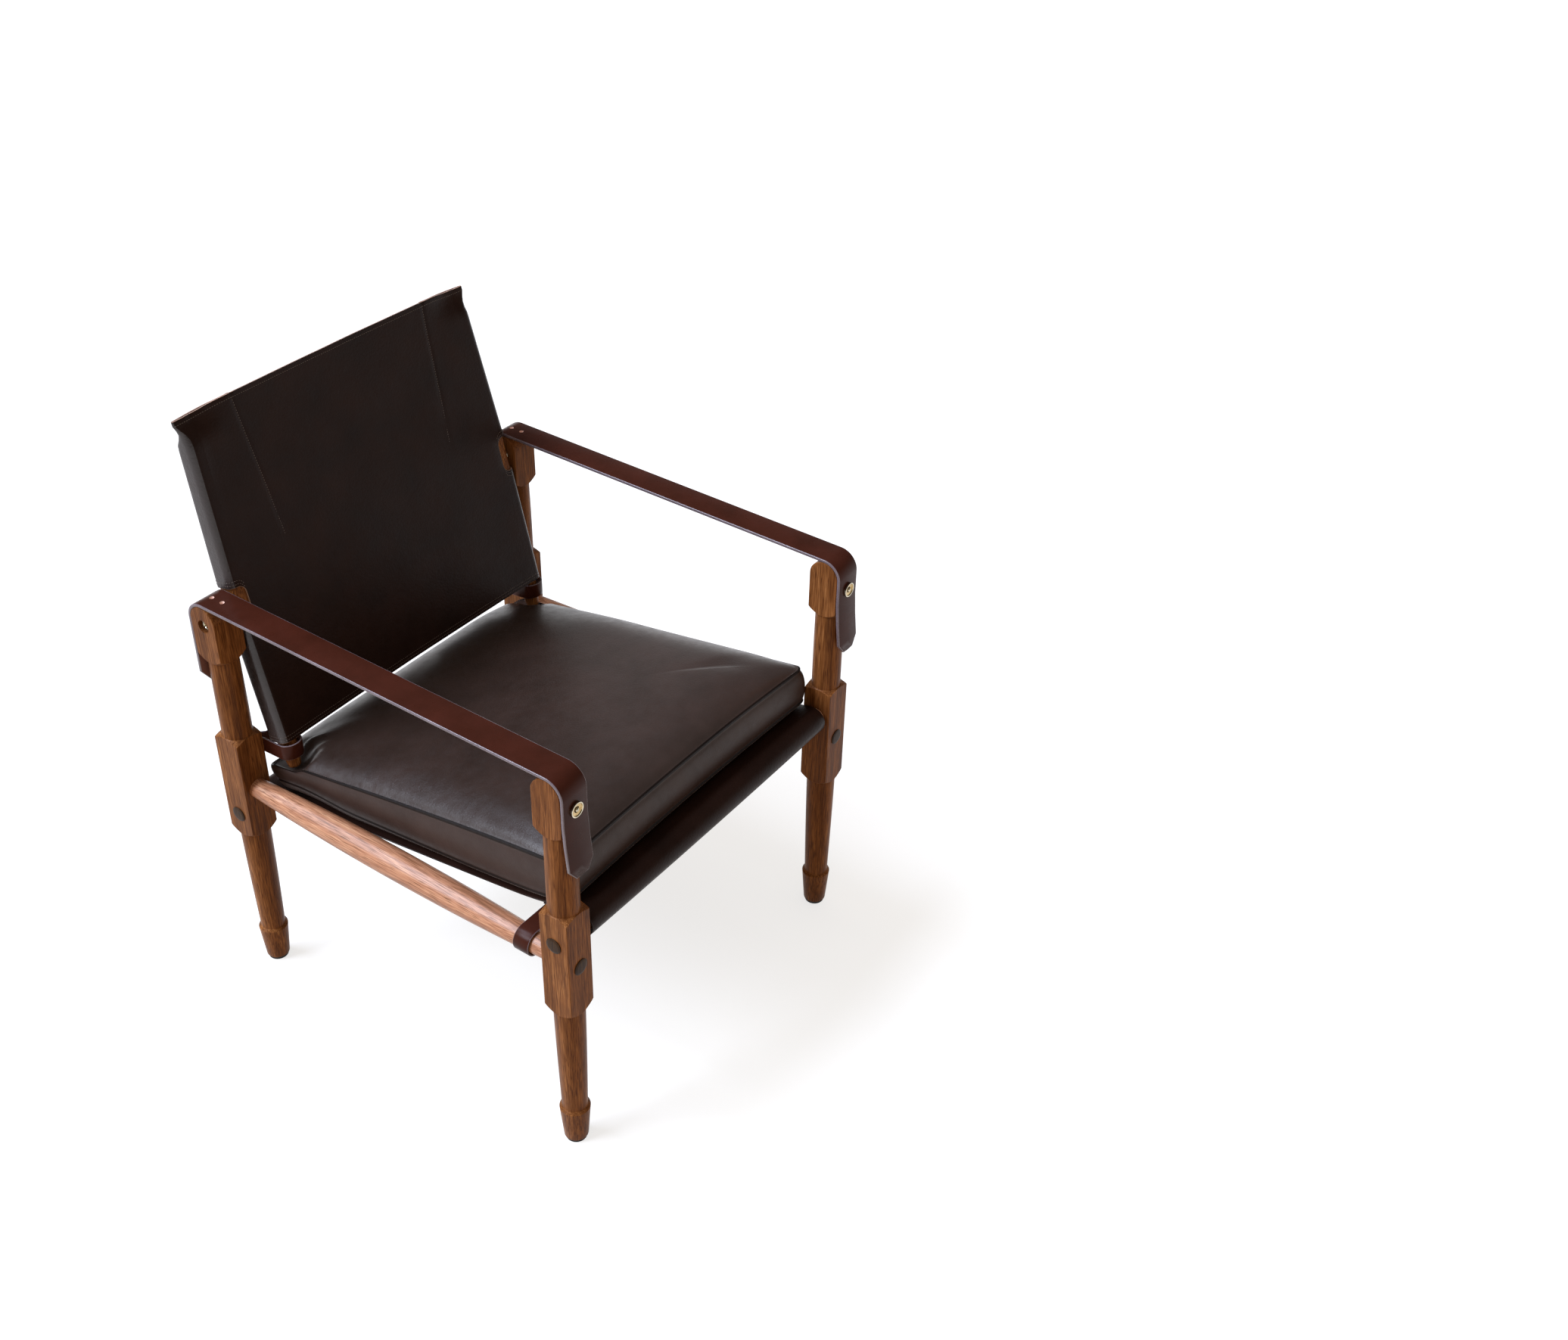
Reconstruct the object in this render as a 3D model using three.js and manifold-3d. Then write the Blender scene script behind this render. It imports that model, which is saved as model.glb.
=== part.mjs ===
// Campaign chair: four turned legs joined by loose rails with tapered tenons, held square by
// leather. A seat sling and a back sling are stretched on the rails and posts, a box cushion lies
// on the seat, leather straps make the arms, and the back pivots between the rear legs.
// Millimetres, +Z up. The sitter faces -Y, and left is the sitter's left, +X.
// The origin is on the floor, under the middle of the chair's width and length.

import * as THREE from 'three';
import { mergeVertices } from 'three/addons/utils/BufferGeometryUtils.js';
import Module from 'manifold-3d';

const wasm = await Module();
wasm.setup();

// Frame plan
const legSpacingWide = 582;
const legSpacingDeep = 584;
const stockSide = 44.5;

// Clearances
const fitGap = 0.3;
const runningGap = 0.4;
const facetAllowance = 0.35;
const overrun = 5;

// Heights up the leg. The upper ones hang from its top, so that the chair's pieces keep together
const glideHeight = 5;
const cuffTop = 61;
const legTop = 640;
const topBlockDrop = 78;
const studDrop = 43;
const pivotDrop = 29;
const sideRailDrop = 304.7;
const frontRailRise = 41.1;
const rearRailDrop = 44.5;
const blockBelowRail = 29.2;
const blockAboveRail = 42.5;
const topBlockFoot = legTop - topBlockDrop;
const studHeight = legTop - studDrop;
const pivotHeight = legTop - pivotDrop;
const sideRailHeight = legTop - sideRailDrop;
const frontRailHeight = sideRailHeight + frontRailRise;
const rearRailHeight = sideRailHeight - rearRailDrop;
const blockFoot = rearRailHeight - blockBelowRail;
const blockHead = frontRailHeight + blockAboveRail;

// Turned sizes of the leg
const cuffFootRadius = 16.3;
const cuffTopRadius = 21.1;
const cuffBevel = 4;
const ankleRadius = 17.4;
const calfRadius = 21;
const neckRadius = 20.8;
const neckTopRadius = 20.2;
const footSlope = 1;
const headSlope = 0.55;

// Foot glides
const glideRadius = 14.6;
const glidePinRadius = 3;
const glidePinLength = 16;
const glideEdge = 1.5;

// Rails and their tenons
const railEndRadius = 14;
const tenonTipRadius = 9.4;
const sideRailSwell = 6.8;
const slungRailSwell = 4.6;
const tenonShort = 4.5;
const railSteps = 6;

// Mortise caps
const capRadius = 11.6;
const capDome = 1.8;
const capRim = 0.7;
const capShoulderShare = 0.72;
const spigotLength = 3.2;

// Leather thicknesses
const strapLeather = 4.5;
const slingLeather = 2.4;
const beltLeather = 2.2;
const tensionLeather = 2.6;

// Arm straps
const armStrapWidth = 44;
const frontTailDrop = 142;
const rearTailDrop = 139;
const frontTailLow = legTop - frontTailDrop;
const rearTailLow = legTop - rearTailDrop;
const frontTailFlat = 22;
const rearTailFlat = 7;
const frontTailClip = 15;
const rearTailClip = 27;
const holePitch = 19.5;
const punchRadius = 2.4;
const archSteps = 6;
const holesBelowStud = 1;
const holesAboveStud = 4;

// Arm studs
const studHeadRadius = 10.5;
const studHeadRise = 3.4;
const studDish = 0.9;
const studPinRadius = 2.2;
const studShankRadius = 2;
const studDepth = 20;

// Back frame, measured along the post from the pivot. Its foot keeps its height over the seat.
const backLean = THREE.MathUtils.degToRad(13.5);
const postWidth = 28;
const postDepth = 31;
const postTop = 250;
const tipAboveRail = 30.66;
const postTurnedLength = 45;
const postTip = (pivotHeight - sideRailHeight - tipAboveRail) / Math.cos(backLean);
const postSquareEnd = postTip - postTurnedLength;
const postRoundRadius = 13.2;
const postTipRadius = 9.5;
const postTipRound = 5;
const postTaperLength = 30;
const postEdge = 3;
const postSideGap = 4.75;

// Pivot bolts, washers and threaded inserts
const boltRadius = 4;
const boltHeadRadius = 7.2;
const boltHeadHeight = 5;
const boltSocketRadius = 2.9;
const boltSocketDepth = 3;
const counterboreRadius = 9.6;
const counterboreDepth = 9.5;
const washerRadius = 11;
const insertRadius = 6.2;
const insertLength = 22;

// Back sling: heights along the post from the pivot, and seams from the post's inner side
const slingTopMiddle = 272;
const slingTopCorner = 262;
const slingTopBreak = 60;
const slingAboveTip = 47;
const slingBottom = postTip - slingAboveTip;
const slingSag = 5;
const upperFlapOuter = 33;
const upperFlapInner = 30;
const upperSeamTop = 62;
const upperSeamFoot = 80;
const lowerFlapOuterShare = 0.122;
const lowerFlapInnerShare = 0.278;
const lowerFlapOuter = slingBottom * lowerFlapOuterShare;
const lowerFlapInner = slingBottom * lowerFlapInnerShare;
const lowerFlapEnd = 57;
const cutoutInset = 3;
const slingCorner = 4.6;

// Tension straps and their hardware
const tensionWidth = 22;
const eyeletOffset = 80;
const upperEyeletShare = 0.328;
const lowerEyeletShare = 0.75;
const upperEyelet = lowerFlapInner + (slingBottom - lowerFlapInner) * upperEyeletShare;
const lowerEyelet = lowerFlapInner + (slingBottom - lowerFlapInner) * lowerEyeletShare;
const upperDroop = 8;
const lowerDroop = 12;
const upperBow = 12;
const lowerBow = 13;
const innerLift = 8;
const bellyShare = 0.85;
const lapEndShare = 0.75;
const outerStationShares = [0.16, 0.31, 0.48, 0.66, 0.83];
const innerStationShares = [0.25, 0.72, 0.86, 1];
const tipWidthShare = 0.4;
const outerTipReach = 88;
const innerTipReach = 16;
const engagedStud = 42;
const freeStud = 14;
const eyeletHalfWide = 6;
const eyeletHalfTall = 17.2;
const barrelHalfWide = 4.4;
const barrelHalfTall = 14.4;
const mouthHalfWide = 3.3;
const mouthHalfTall = 13;
const flangeRise = 1;
const mouthTurnShare = 0.9;
const ballRadius = 3.9;
const ballStemRadius = 1.7;
const ballBaseRadius = 4.4;
const ballBaseHeight = 1;

// Seat sling
const sleeveInset = 6.75;
const sleeveBoreMiddle = 19.4;
const sleeveBoreEnd = 17.9;
const hemRun = 24;
const slingWrapShare = 0.72;
const hemStartShare = 1.9;
const tuckShares = [[1.42, 0.52], [1.13, 0.05]];

// Seat cushion
const cushionFrontInset = 12.5;
const cushionRearInset = 30.2;
const cushionCorner = 26;
const seamHeight = 61;
const crownHeight = 17;
const sideBulge = 3.5;
const drawnIn = 4;
const dimpleGap = 6.5;
const dimpleSlope = 32;
// Each ring of the cushion: share of the outline, of the seam's height and of the crown
const cushionRingShares = [
  [0.5, 0, 0],
  [0.9, 0, 0],
  [0.985, 0.03, 0],
  [1, 0.14, 0],
  [1.013, 0.45, 0],
  [1, 0.85, 0],
  [0.985, 1, 0],
  [0.955, 1, 0.3],
  [0.88, 1, 0.56],
  [0.74, 1, 0.8],
  [0.52, 1, 0.93],
  [0.26, 1, 0.99],
];

// Retaining straps and screws
const retainingHeight = 24;
const retainingRise = 53.7;
const retainingMiddle = sideRailHeight + retainingRise;
const retainingScrewInset = 8.5;
const screwHeadRadius = 4;
const screwHeadRise = 2;
const screwRadius = 1.6;
const screwDepth = 14;
const screwCrownShare = 0.75;
const loopMiddleShare = 0.35;
const lapMeetShare = 1.75;
const tiltTravel = THREE.MathUtils.degToRad(7);

// Seat belt under the cushion
const beltWidth = 25;
const beltFromFront = 61;
const beltLap = 130;
const beltJog = 45;
const beltStudInset = 14;
const beltStudRadius = 5;
const beltStudRise = 2.2;
const rivetCrownShare = 0.7;
const rivetRimShare = 0.4;

// Roundness of the meshes
const turnedSides = 16;
const roundSides = 10;
const smallSides = 8;
const oblongSteps = 2;
const bendSteps = 8;

const sides = [['right', -1], ['left', 1]];
const ends = [['front', -1], ['rear', 1]];
const halfWide = legSpacingWide / 2;
const halfDeep = legSpacingDeep / 2;
const halfStock = stockSide / 2;
const innerFace = halfWide - halfStock;
const sleeveReach = innerFace - sleeveInset;
const sideRun = new THREE.Vector3(0, 1, 0);
const crossRun = new THREE.Vector3(1, 0, 0);
const upward = new THREE.Vector3(0, 0, 1);

const finishes = {
  walnut: new THREE.MeshStandardMaterial({ color: 0x6b4426, roughness: 0.45 }),
  rail: new THREE.MeshStandardMaterial({ color: 0x8f5a34, roughness: 0.3 }),
  cap: new THREE.MeshStandardMaterial({ color: 0x3a2820, roughness: 0.5 }),
  glide: new THREE.MeshStandardMaterial({ color: 0x15110e, roughness: 0.6 }),
  strap: new THREE.MeshStandardMaterial({ color: 0x45231f, roughness: 0.4 }),
  leather: new THREE.MeshStandardMaterial({ color: 0x3b312d, roughness: 0.45 }),
  steel: new THREE.MeshStandardMaterial({ color: 0xc9c6bf, roughness: 0.25, metalness: 1 }),
  brass: new THREE.MeshStandardMaterial({ color: 0xc9a560, roughness: 0.3, metalness: 1 }),
};

// Solids

// A geometry with shared corners merged and collapsed triangles dropped
function weld(geometry) {
  const bare = geometry.clone();
  bare.deleteAttribute('normal');
  bare.deleteAttribute('uv');
  const merged = mergeVertices(bare);
  const kept = [];
  const corners = merged.index.array;
  for (let i = 0; i < corners.length; i += 3) {
    const [a, b, c] = [corners[i], corners[i + 1], corners[i + 2]];
    if (a !== b && b !== c && c !== a) kept.push(a, b, c);
  }
  merged.setIndex(kept);
  return merged;
}

function solidOf(geometry) {
  const welded = weld(geometry);
  return new wasm.Manifold(new wasm.Mesh({
    numProp: 3,
    vertProperties: new Float32Array(welded.attributes.position.array),
    triVerts: new Uint32Array(welded.index.array),
  }));
}

function geometryOf(solid) {
  const mesh = solid.getMesh();
  const geometry = new THREE.BufferGeometry();
  const places = new Float32Array(mesh.vertProperties);
  geometry.setAttribute('position', new THREE.BufferAttribute(places, mesh.numProp));
  geometry.setIndex(Array.from(mesh.triVerts));
  geometry.computeVertexNormals();
  return geometry;
}

function cut(body, tools) {
  return tools.reduce((rest, tool) => rest.subtract(solidOf(tool)), body);
}

// A turned solid from [radius, height] pairs that start and end on the axis, turned about Z
function turned(profile, steps = turnedSides) {
  const points = profile.map(([radius, height]) => new THREE.Vector2(radius, height));
  return new THREE.LatheGeometry(points, steps).rotateX(Math.PI / 2);
}

// The same solid, set with its foot at a point and its axis along a direction
function aimed(geometry, foot, direction) {
  const turn = new THREE.Quaternion().setFromUnitVectors(upward, direction.clone().normalize());
  return geometry.applyQuaternion(turn).translate(foot.x, foot.y, foot.z);
}

function rod(radius, length, steps = smallSides) {
  return turned([[0, 0], [radius, 0], [radius, length], [0, length]], steps);
}

// A hole through a plate, longer than the plate by the overrun at both ends
function drill(radius, foot, direction, length, steps = smallSides) {
  const start = foot.clone().addScaledVector(direction, -overrun);
  return aimed(rod(radius, length + overrun + overrun, steps), start, direction);
}

// A sheet of even thickness on a grid of points of its middle surface. A cell that the keep
// function refuses is left out, and every open edge gets a wall.
function sheet(grid, thickness, keep = () => true) {
  const rows = grid.length;
  const columns = grid[0].length;
  const at = (i, j) => grid[Math.min(Math.max(i, 0), rows - 1)][Math.min(Math.max(j, 0), columns - 1)];
  const held = (i, j) => i >= 0 && j >= 0 && i < rows - 1 && j < columns - 1 && keep(i, j);
  const positions = [];
  const index = [];
  const skins = [1, -1].map((side) => grid.map((row, i) => row.map((point, j) => {
    const along = at(i + 1, j).clone().sub(at(i - 1, j));
    const across = at(i, j + 1).clone().sub(at(i, j - 1));
    const normal = along.cross(across).normalize();
    const moved = point.clone().addScaledVector(normal, side * thickness / 2);
    positions.push(moved.x, moved.y, moved.z);
    return positions.length / 3 - 1;
  })));
  const [top, bottom] = skins;
  const quad = (a, b, c, d) => index.push(a, b, c, a, c, d);
  for (let i = 0; i < rows - 1; i += 1) {
    for (let j = 0; j < columns - 1; j += 1) {
      if (!held(i, j)) continue;
      quad(top[i][j], top[i + 1][j], top[i + 1][j + 1], top[i][j + 1]);
      quad(bottom[i][j], bottom[i][j + 1], bottom[i + 1][j + 1], bottom[i + 1][j]);
      if (!held(i - 1, j)) quad(top[i][j], top[i][j + 1], bottom[i][j + 1], bottom[i][j]);
      if (!held(i + 1, j)) quad(top[i + 1][j + 1], top[i + 1][j], bottom[i + 1][j], bottom[i + 1][j + 1]);
      if (!held(i, j - 1)) quad(top[i + 1][j], top[i][j], bottom[i][j], bottom[i + 1][j]);
      if (!held(i, j + 1)) quad(top[i][j + 1], top[i + 1][j + 1], bottom[i + 1][j + 1], bottom[i][j + 1]);
    }
  }
  const geometry = new THREE.BufferGeometry();
  geometry.setAttribute('position', new THREE.Float32BufferAttribute(positions, 3));
  geometry.setIndex(index);
  return weld(geometry);
}

// A strap along a path of points, with its half width given at each of them along a unit vector
function strap(path, halfWidths, across, thickness) {
  const grid = path.map((point, i) => [1, -1].map((side) => (
    point.clone().addScaledVector(across, side * halfWidths[i]))));
  return sheet(grid, thickness);
}

function lerp(from, to, share) {
  return from + (to - from) * share;
}

function smooth(from, to, value) {
  return THREE.MathUtils.smoothstep(value, from, to);
}

const chair = new THREE.Group();
const back = new THREE.Group();
back.position.set(0, halfDeep, pivotHeight);
back.rotation.x = -backLean;
chair.add(back);

function place(parent, name, geometry, finish, position = new THREE.Vector3()) {
  const mesh = new THREE.Mesh(geometry, finish);
  mesh.name = name;
  mesh.position.copy(position);
  parent.add(mesh);
  return mesh;
}

// Legs

const tenonLength = stockSide - tenonShort;
const tenonTaper = (railEndRadius - tenonTipRadius) / stockSide;

// The tapered hole for a tenon, from the inner face of a leg to its outer face
function mortise(height, outward) {
  const widest = railEndRadius + fitGap + tenonTaper * overrun;
  const narrowest = tenonTipRadius + fitGap - tenonTaper * overrun;
  const reach = stockSide + overrun + overrun;
  const foot = new THREE.Vector3(0, 0, height).addScaledVector(outward, -halfStock - overrun);
  return aimed(turned([[0, 0], [widest, 0], [narrowest, reach], [0, reach]], turnedSides), foot, outward);
}

function legProfile() {
  const corner = stockSide * Math.SQRT1_2;
  const outside = corner + overrun;
  return [
    [0, glideHeight + fitGap],
    [cuffFootRadius, glideHeight + fitGap],
    [cuffTopRadius, cuffTop],
    [ankleRadius, cuffTop + cuffBevel],
    [calfRadius, blockFoot - (corner - calfRadius) * footSlope],
    [outside, blockFoot + overrun * footSlope],
    [outside, blockHead - overrun * headSlope],
    [neckRadius, blockHead + (corner - neckRadius) * headSlope],
    [neckTopRadius, topBlockFoot - (corner - neckTopRadius) * footSlope],
    [outside, topBlockFoot + overrun * footSlope],
    [outside, legTop + overrun],
    [0, legTop + overrun],
  ];
}

// Square stock with its top rounded over from front to back
function legStock() {
  const archCentre = legTop - halfStock;
  const outline = new THREE.Shape();
  outline.moveTo(-halfStock, 0);
  outline.lineTo(halfStock, 0);
  outline.lineTo(halfStock, archCentre);
  outline.absarc(0, archCentre, halfStock, 0, Math.PI, false);
  outline.closePath();
  const settings = { depth: stockSide, bevelEnabled: false, curveSegments: archSteps * 2 };
  const stock = new THREE.ExtrudeGeometry(outline, settings);
  const alongX = new THREE.Matrix4().makeBasis(
    new THREE.Vector3(0, 1, 0), new THREE.Vector3(0, 0, 1), new THREE.Vector3(1, 0, 0));
  return stock.translate(0, 0, -halfStock).applyMatrix4(alongX);
}

const legBlank = solidOf(legStock()).intersect(solidOf(turned(legProfile())));
const archLine = halfStock + fitGap + strapLeather / 2;

for (const [end, ySign] of ends) {
  for (const [side, xSign] of sides) {
    const out = crossRun.clone().multiplyScalar(xSign);
    const away = sideRun.clone().multiplyScalar(ySign);
    const crossHeight = end === 'front' ? frontRailHeight : rearRailHeight;
    const studFoot = new THREE.Vector3(0, 0, studHeight).addScaledVector(away, halfStock - studDepth);
    const holes = [
      mortise(crossHeight, out),
      mortise(sideRailHeight, away),
      drill(studShankRadius + fitGap, studFoot, away, studDepth),
      drill(glidePinRadius + fitGap, new THREE.Vector3(), upward, glidePinLength, roundSides),
    ];
    if (end === 'rear') {
      const pivotFoot = new THREE.Vector3(0, 0, pivotHeight).addScaledVector(out, -halfStock);
      const seatFoot = pivotFoot.clone().addScaledVector(out, stockSide - counterboreDepth + overrun);
      const screwFoot = new THREE.Vector3(0, halfStock - retainingScrewInset, retainingMiddle)
        .addScaledVector(out, screwDepth - halfStock - overrun);
      holes.push(drill(boltRadius + runningGap, pivotFoot, out, stockSide));
      holes.push(drill(counterboreRadius, seatFoot, out, counterboreDepth, roundSides));
      holes.push(drill(screwRadius + fitGap, screwFoot, out.clone().negate(), screwDepth));
    }
    const spot = new THREE.Vector3(xSign * halfWide, ySign * halfDeep, 0);
    place(chair, `leg_${end}_${side}`, geometryOf(cut(legBlank, holes)), finishes.walnut, spot);

    const glide = turned([
      [0, 0],
      [glideRadius - glideEdge, 0],
      [glideRadius, glideEdge],
      [glideRadius, glideHeight],
      [glidePinRadius, glideHeight],
      [glidePinRadius, glidePinLength],
      [0, glidePinLength],
    ], roundSides);
    place(chair, `foot_glide_${end}_${side}`, glide, finishes.glide, spot);
  }
}

// Rails

function railProfile(spacing, swell) {
  const shoulder = spacing / 2 - halfStock;
  const tipRadius = tenonTipRadius + tenonTaper * tenonShort;
  const tip = shoulder + tenonLength;
  const body = [];
  for (let i = 0; i <= railSteps; i += 1) {
    const share = lerp(-1, 1, i / railSteps);
    body.push([railEndRadius + swell * (1 - share * share), share * shoulder]);
  }
  return [[0, -tip], [tipRadius, -tip], ...body, [tipRadius, tip], [0, tip]];
}

for (const [side, xSign] of sides) {
  const rail = aimed(turned(railProfile(legSpacingDeep, sideRailSwell)), new THREE.Vector3(), sideRun);
  place(chair, `rail_${side}`, rail, finishes.rail, new THREE.Vector3(xSign * halfWide, 0, sideRailHeight));
}
for (const [end, ySign] of ends) {
  const rail = aimed(turned(railProfile(legSpacingWide, slungRailSwell)), new THREE.Vector3(), crossRun);
  const height = end === 'front' ? frontRailHeight : rearRailHeight;
  place(chair, `rail_${end}`, rail, finishes.rail, new THREE.Vector3(0, ySign * halfDeep, height));
}

// Mortise caps, domed, on the outer faces of the legs

function mortiseCap(foot, outward) {
  const spigotRadius = tenonTipRadius - fitGap;
  const seat = spigotLength + fitGap;
  const cap = turned([
    [0, 0],
    [spigotRadius, 0],
    [spigotRadius, seat],
    [capRadius, seat],
    [capRadius, seat + capRim],
    [capRadius * capShoulderShare, seat + capRim + (capDome - capRim) * capShoulderShare],
    [0, seat + capDome],
  ], roundSides);
  return aimed(cap, foot.clone().addScaledVector(outward, -spigotLength), outward);
}

for (const [end, ySign] of ends) {
  for (const [side, xSign] of sides) {
    const crossHeight = end === 'front' ? frontRailHeight : rearRailHeight;
    const out = crossRun.clone().multiplyScalar(xSign);
    const away = sideRun.clone().multiplyScalar(ySign);
    const axis = new THREE.Vector3(xSign * halfWide, ySign * halfDeep, 0);
    const crossFoot = axis.clone().addScaledVector(out, halfStock).setZ(crossHeight);
    const sideFoot = axis.clone().addScaledVector(away, halfStock).setZ(sideRailHeight);
    place(chair, `mortise_cap_cross_${end}_${side}`, mortiseCap(crossFoot, out), finishes.cap);
    place(chair, `mortise_cap_side_${end}_${side}`, mortiseCap(sideFoot, away), finishes.cap);
  }
}

// Arm straps: over both leg tops, with a tail down the front and the rear

const strapTopHeight = legTop - halfStock + archLine;
const tailPlane = halfDeep + archLine;
const archLength = archLine * Math.PI / 2;

// A point of the strap's middle line, by its distance from the rear stud up and over to the front
function strapPoint(run, centreY) {
  const straight = legTop - halfStock - studHeight;
  if (run <= straight) return new THREE.Vector3(0, centreY + archLine, studHeight + run);
  const angle = (run - straight) / archLine;
  if (angle <= Math.PI / 2) {
    return new THREE.Vector3(
      0, centreY + archLine * Math.cos(angle), legTop - halfStock + archLine * Math.sin(angle));
  }
  return new THREE.Vector3(0, centreY - (run - straight - archLength), strapTopHeight);
}

function armStrapGeometry(xSign) {
  const path = [];
  const widths = [];
  const add = (y, z, width) => {
    path.push(new THREE.Vector3(0, y, z));
    widths.push(width / 2);
  };
  const archCentre = legTop - halfStock;
  add(-tailPlane, frontTailLow, frontTailFlat);
  add(-tailPlane, frontTailLow + frontTailClip, armStrapWidth);
  for (let i = 0; i <= archSteps; i += 1) {
    const angle = (i / archSteps) * Math.PI / 2;
    add(-halfDeep - archLine * Math.cos(angle), archCentre + archLine * Math.sin(angle), armStrapWidth);
  }
  for (let i = archSteps; i >= 0; i -= 1) {
    const angle = (i / archSteps) * Math.PI / 2;
    add(halfDeep + archLine * Math.cos(angle), archCentre + archLine * Math.sin(angle), armStrapWidth);
  }
  add(tailPlane, rearTailLow + rearTailClip, armStrapWidth);
  add(tailPlane, rearTailLow, rearTailFlat);
  const leather = solidOf(strap(path, widths, crossRun.clone().negate(), strapLeather));
  const holes = [drill(studShankRadius + fitGap,
    new THREE.Vector3(0, -tailPlane - strapLeather, studHeight), sideRun, strapLeather + strapLeather)];
  for (let i = -holesBelowStud; i <= holesAboveStud; i += 1) {
    const run = i * holePitch;
    const middle = strapPoint(run, halfDeep);
    const ahead = strapPoint(run + punchRadius, halfDeep).sub(strapPoint(run - punchRadius, halfDeep));
    const through = new THREE.Vector3().crossVectors(ahead.normalize(), crossRun);
    const radius = i === 0 ? studShankRadius + fitGap : punchRadius;
    const start = middle.addScaledVector(through, -strapLeather);
    holes.push(drill(radius, start, through, strapLeather + strapLeather));
  }
  return geometryOf(cut(leather, holes)).translate(xSign * halfWide, 0, 0);
}

// A screw stud with a dished head and a centre pin
function armStud() {
  const seat = strapLeather + fitGap + fitGap;
  return turned([
    [0, -studDepth + fitGap],
    [studShankRadius, -studDepth + fitGap],
    [studShankRadius, seat],
    [studHeadRadius, seat],
    [studHeadRadius, seat + studHeadRise - studDish],
    [studHeadRadius - studDish, seat + studHeadRise],
    [studPinRadius, seat + studHeadRise - studDish],
    [studPinRadius, seat + studHeadRise + studDish],
    [0, seat + studHeadRise + studDish],
  ], roundSides);
}

for (const [side, xSign] of sides) {
  place(chair, `arm_strap_${side}`, armStrapGeometry(xSign), finishes.strap);
  for (const [end, ySign] of ends) {
    const away = sideRun.clone().multiplyScalar(ySign);
    const foot = new THREE.Vector3(xSign * halfWide, ySign * (halfDeep + halfStock), studHeight);
    place(chair, `arm_stud_${end}_${side}`, aimed(armStud(), foot, away), finishes.steel);
  }
}

// Seat sling, in a frame along the rake: b runs from the front rail to the rear rail, n is square
// to it and points up

const rakeRise = frontRailHeight - rearRailHeight;
const rake = Math.atan2(rakeRise, legSpacingDeep);
const rakeLength = Math.hypot(rakeRise, legSpacingDeep);
const rakeBack = new THREE.Vector3(0, Math.cos(rake), -Math.sin(rake));
const rakeUp = new THREE.Vector3(0, Math.sin(rake), Math.cos(rake));

function onRake(x, b, n) {
  const start = new THREE.Vector3(x, -halfDeep, frontRailHeight);
  return start.addScaledVector(rakeBack, b).addScaledVector(rakeUp, n);
}

function sleeveLine(x) {
  const share = 1 - (x / sleeveReach) ** 2;
  return lerp(sleeveBoreEnd, sleeveBoreMiddle, share) + slingLeather / 2;
}

function seatSlingGeometry() {
  const stations = 6;
  const panelSteps = 4;
  const grid = [];
  for (let i = 0; i <= stations; i += 1) {
    const x = lerp(-sleeveReach, sleeveReach, i / stations);
    const radius = sleeveLine(x);
    const under = radius - slingLeather - fitGap;
    const lapStart = radius * hemStartShare;
    const half = [];
    half.push([lapStart + hemRun, under]);
    half.push([lapStart, under]);
    tuckShares.forEach(([share, rise]) => half.push([radius * share, radius * rise]));
    for (let k = bendSteps; k >= 0; k -= 1) {
      const angle = (k / bendSteps) * slingWrapShare * 2 * Math.PI;
      half.push([-radius * Math.sin(angle), radius * Math.cos(angle)]);
    }
    const panel = [];
    for (let k = 1; k < panelSteps; k += 1) {
      panel.push([rakeLength * k / panelSteps, radius]);
    }
    const rear = half.map(([b, n]) => [rakeLength - b, n]).reverse();
    grid.push([...half, ...panel, ...rear].map(([b, n]) => onRake(x, b, n)));
  }
  return sheet(grid, slingLeather);
}

place(chair, 'seat_sling', seatSlingGeometry(), finishes.leather);

// Seat cushion: flat below, crowned above, drawn in between its corners, and pressed down at the
// rear corners where the back posts reach it

const cushionFront = cushionFrontInset;
const cushionRear = rakeLength - cushionRearInset;
const cushionHalfWide = innerFace - sideBulge - fitGap;

function cushionOutline() {
  const middle = (cushionFront + cushionRear) / 2;
  const halfLong = (cushionRear - cushionFront) / 2;
  const inX = cushionHalfWide - cushionCorner;
  const inB = halfLong - cushionCorner;
  const sideSteps = 9;
  const cornerSteps = 4;
  const outline = [];
  const corners = [[1, 1], [-1, 1], [-1, -1], [1, -1]];
  corners.forEach(([sx, sb], quarter) => {
    for (let k = 0; k <= cornerSteps; k += 1) {
      const angle = (quarter + k / cornerSteps) * Math.PI / 2;
      outline.push([sx * inX + cushionCorner * Math.cos(angle), sb * inB + cushionCorner * Math.sin(angle)]);
    }
    const [nextX, nextB] = corners[(quarter + 1) % corners.length];
    const angle = (quarter + 1) * Math.PI / 2;
    const from = [sx * inX + cushionCorner * Math.cos(angle), sb * inB + cushionCorner * Math.sin(angle)];
    const to = [nextX * inX + cushionCorner * Math.cos(angle), nextB * inB + cushionCorner * Math.sin(angle)];
    for (let k = 1; k < sideSteps; k += 1) {
      outline.push([lerp(from[0], to[0], k / sideSteps), lerp(from[1], to[1], k / sideSteps)]);
    }
  });
  return outline.map(([x, b]) => [
    x * (1 - (drawnIn / cushionHalfWide) * (1 - (b / halfLong) ** 2)),
    middle + b * (1 - (drawnIn / halfLong) * (1 - (x / cushionHalfWide) ** 2)),
  ]);
}

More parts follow.
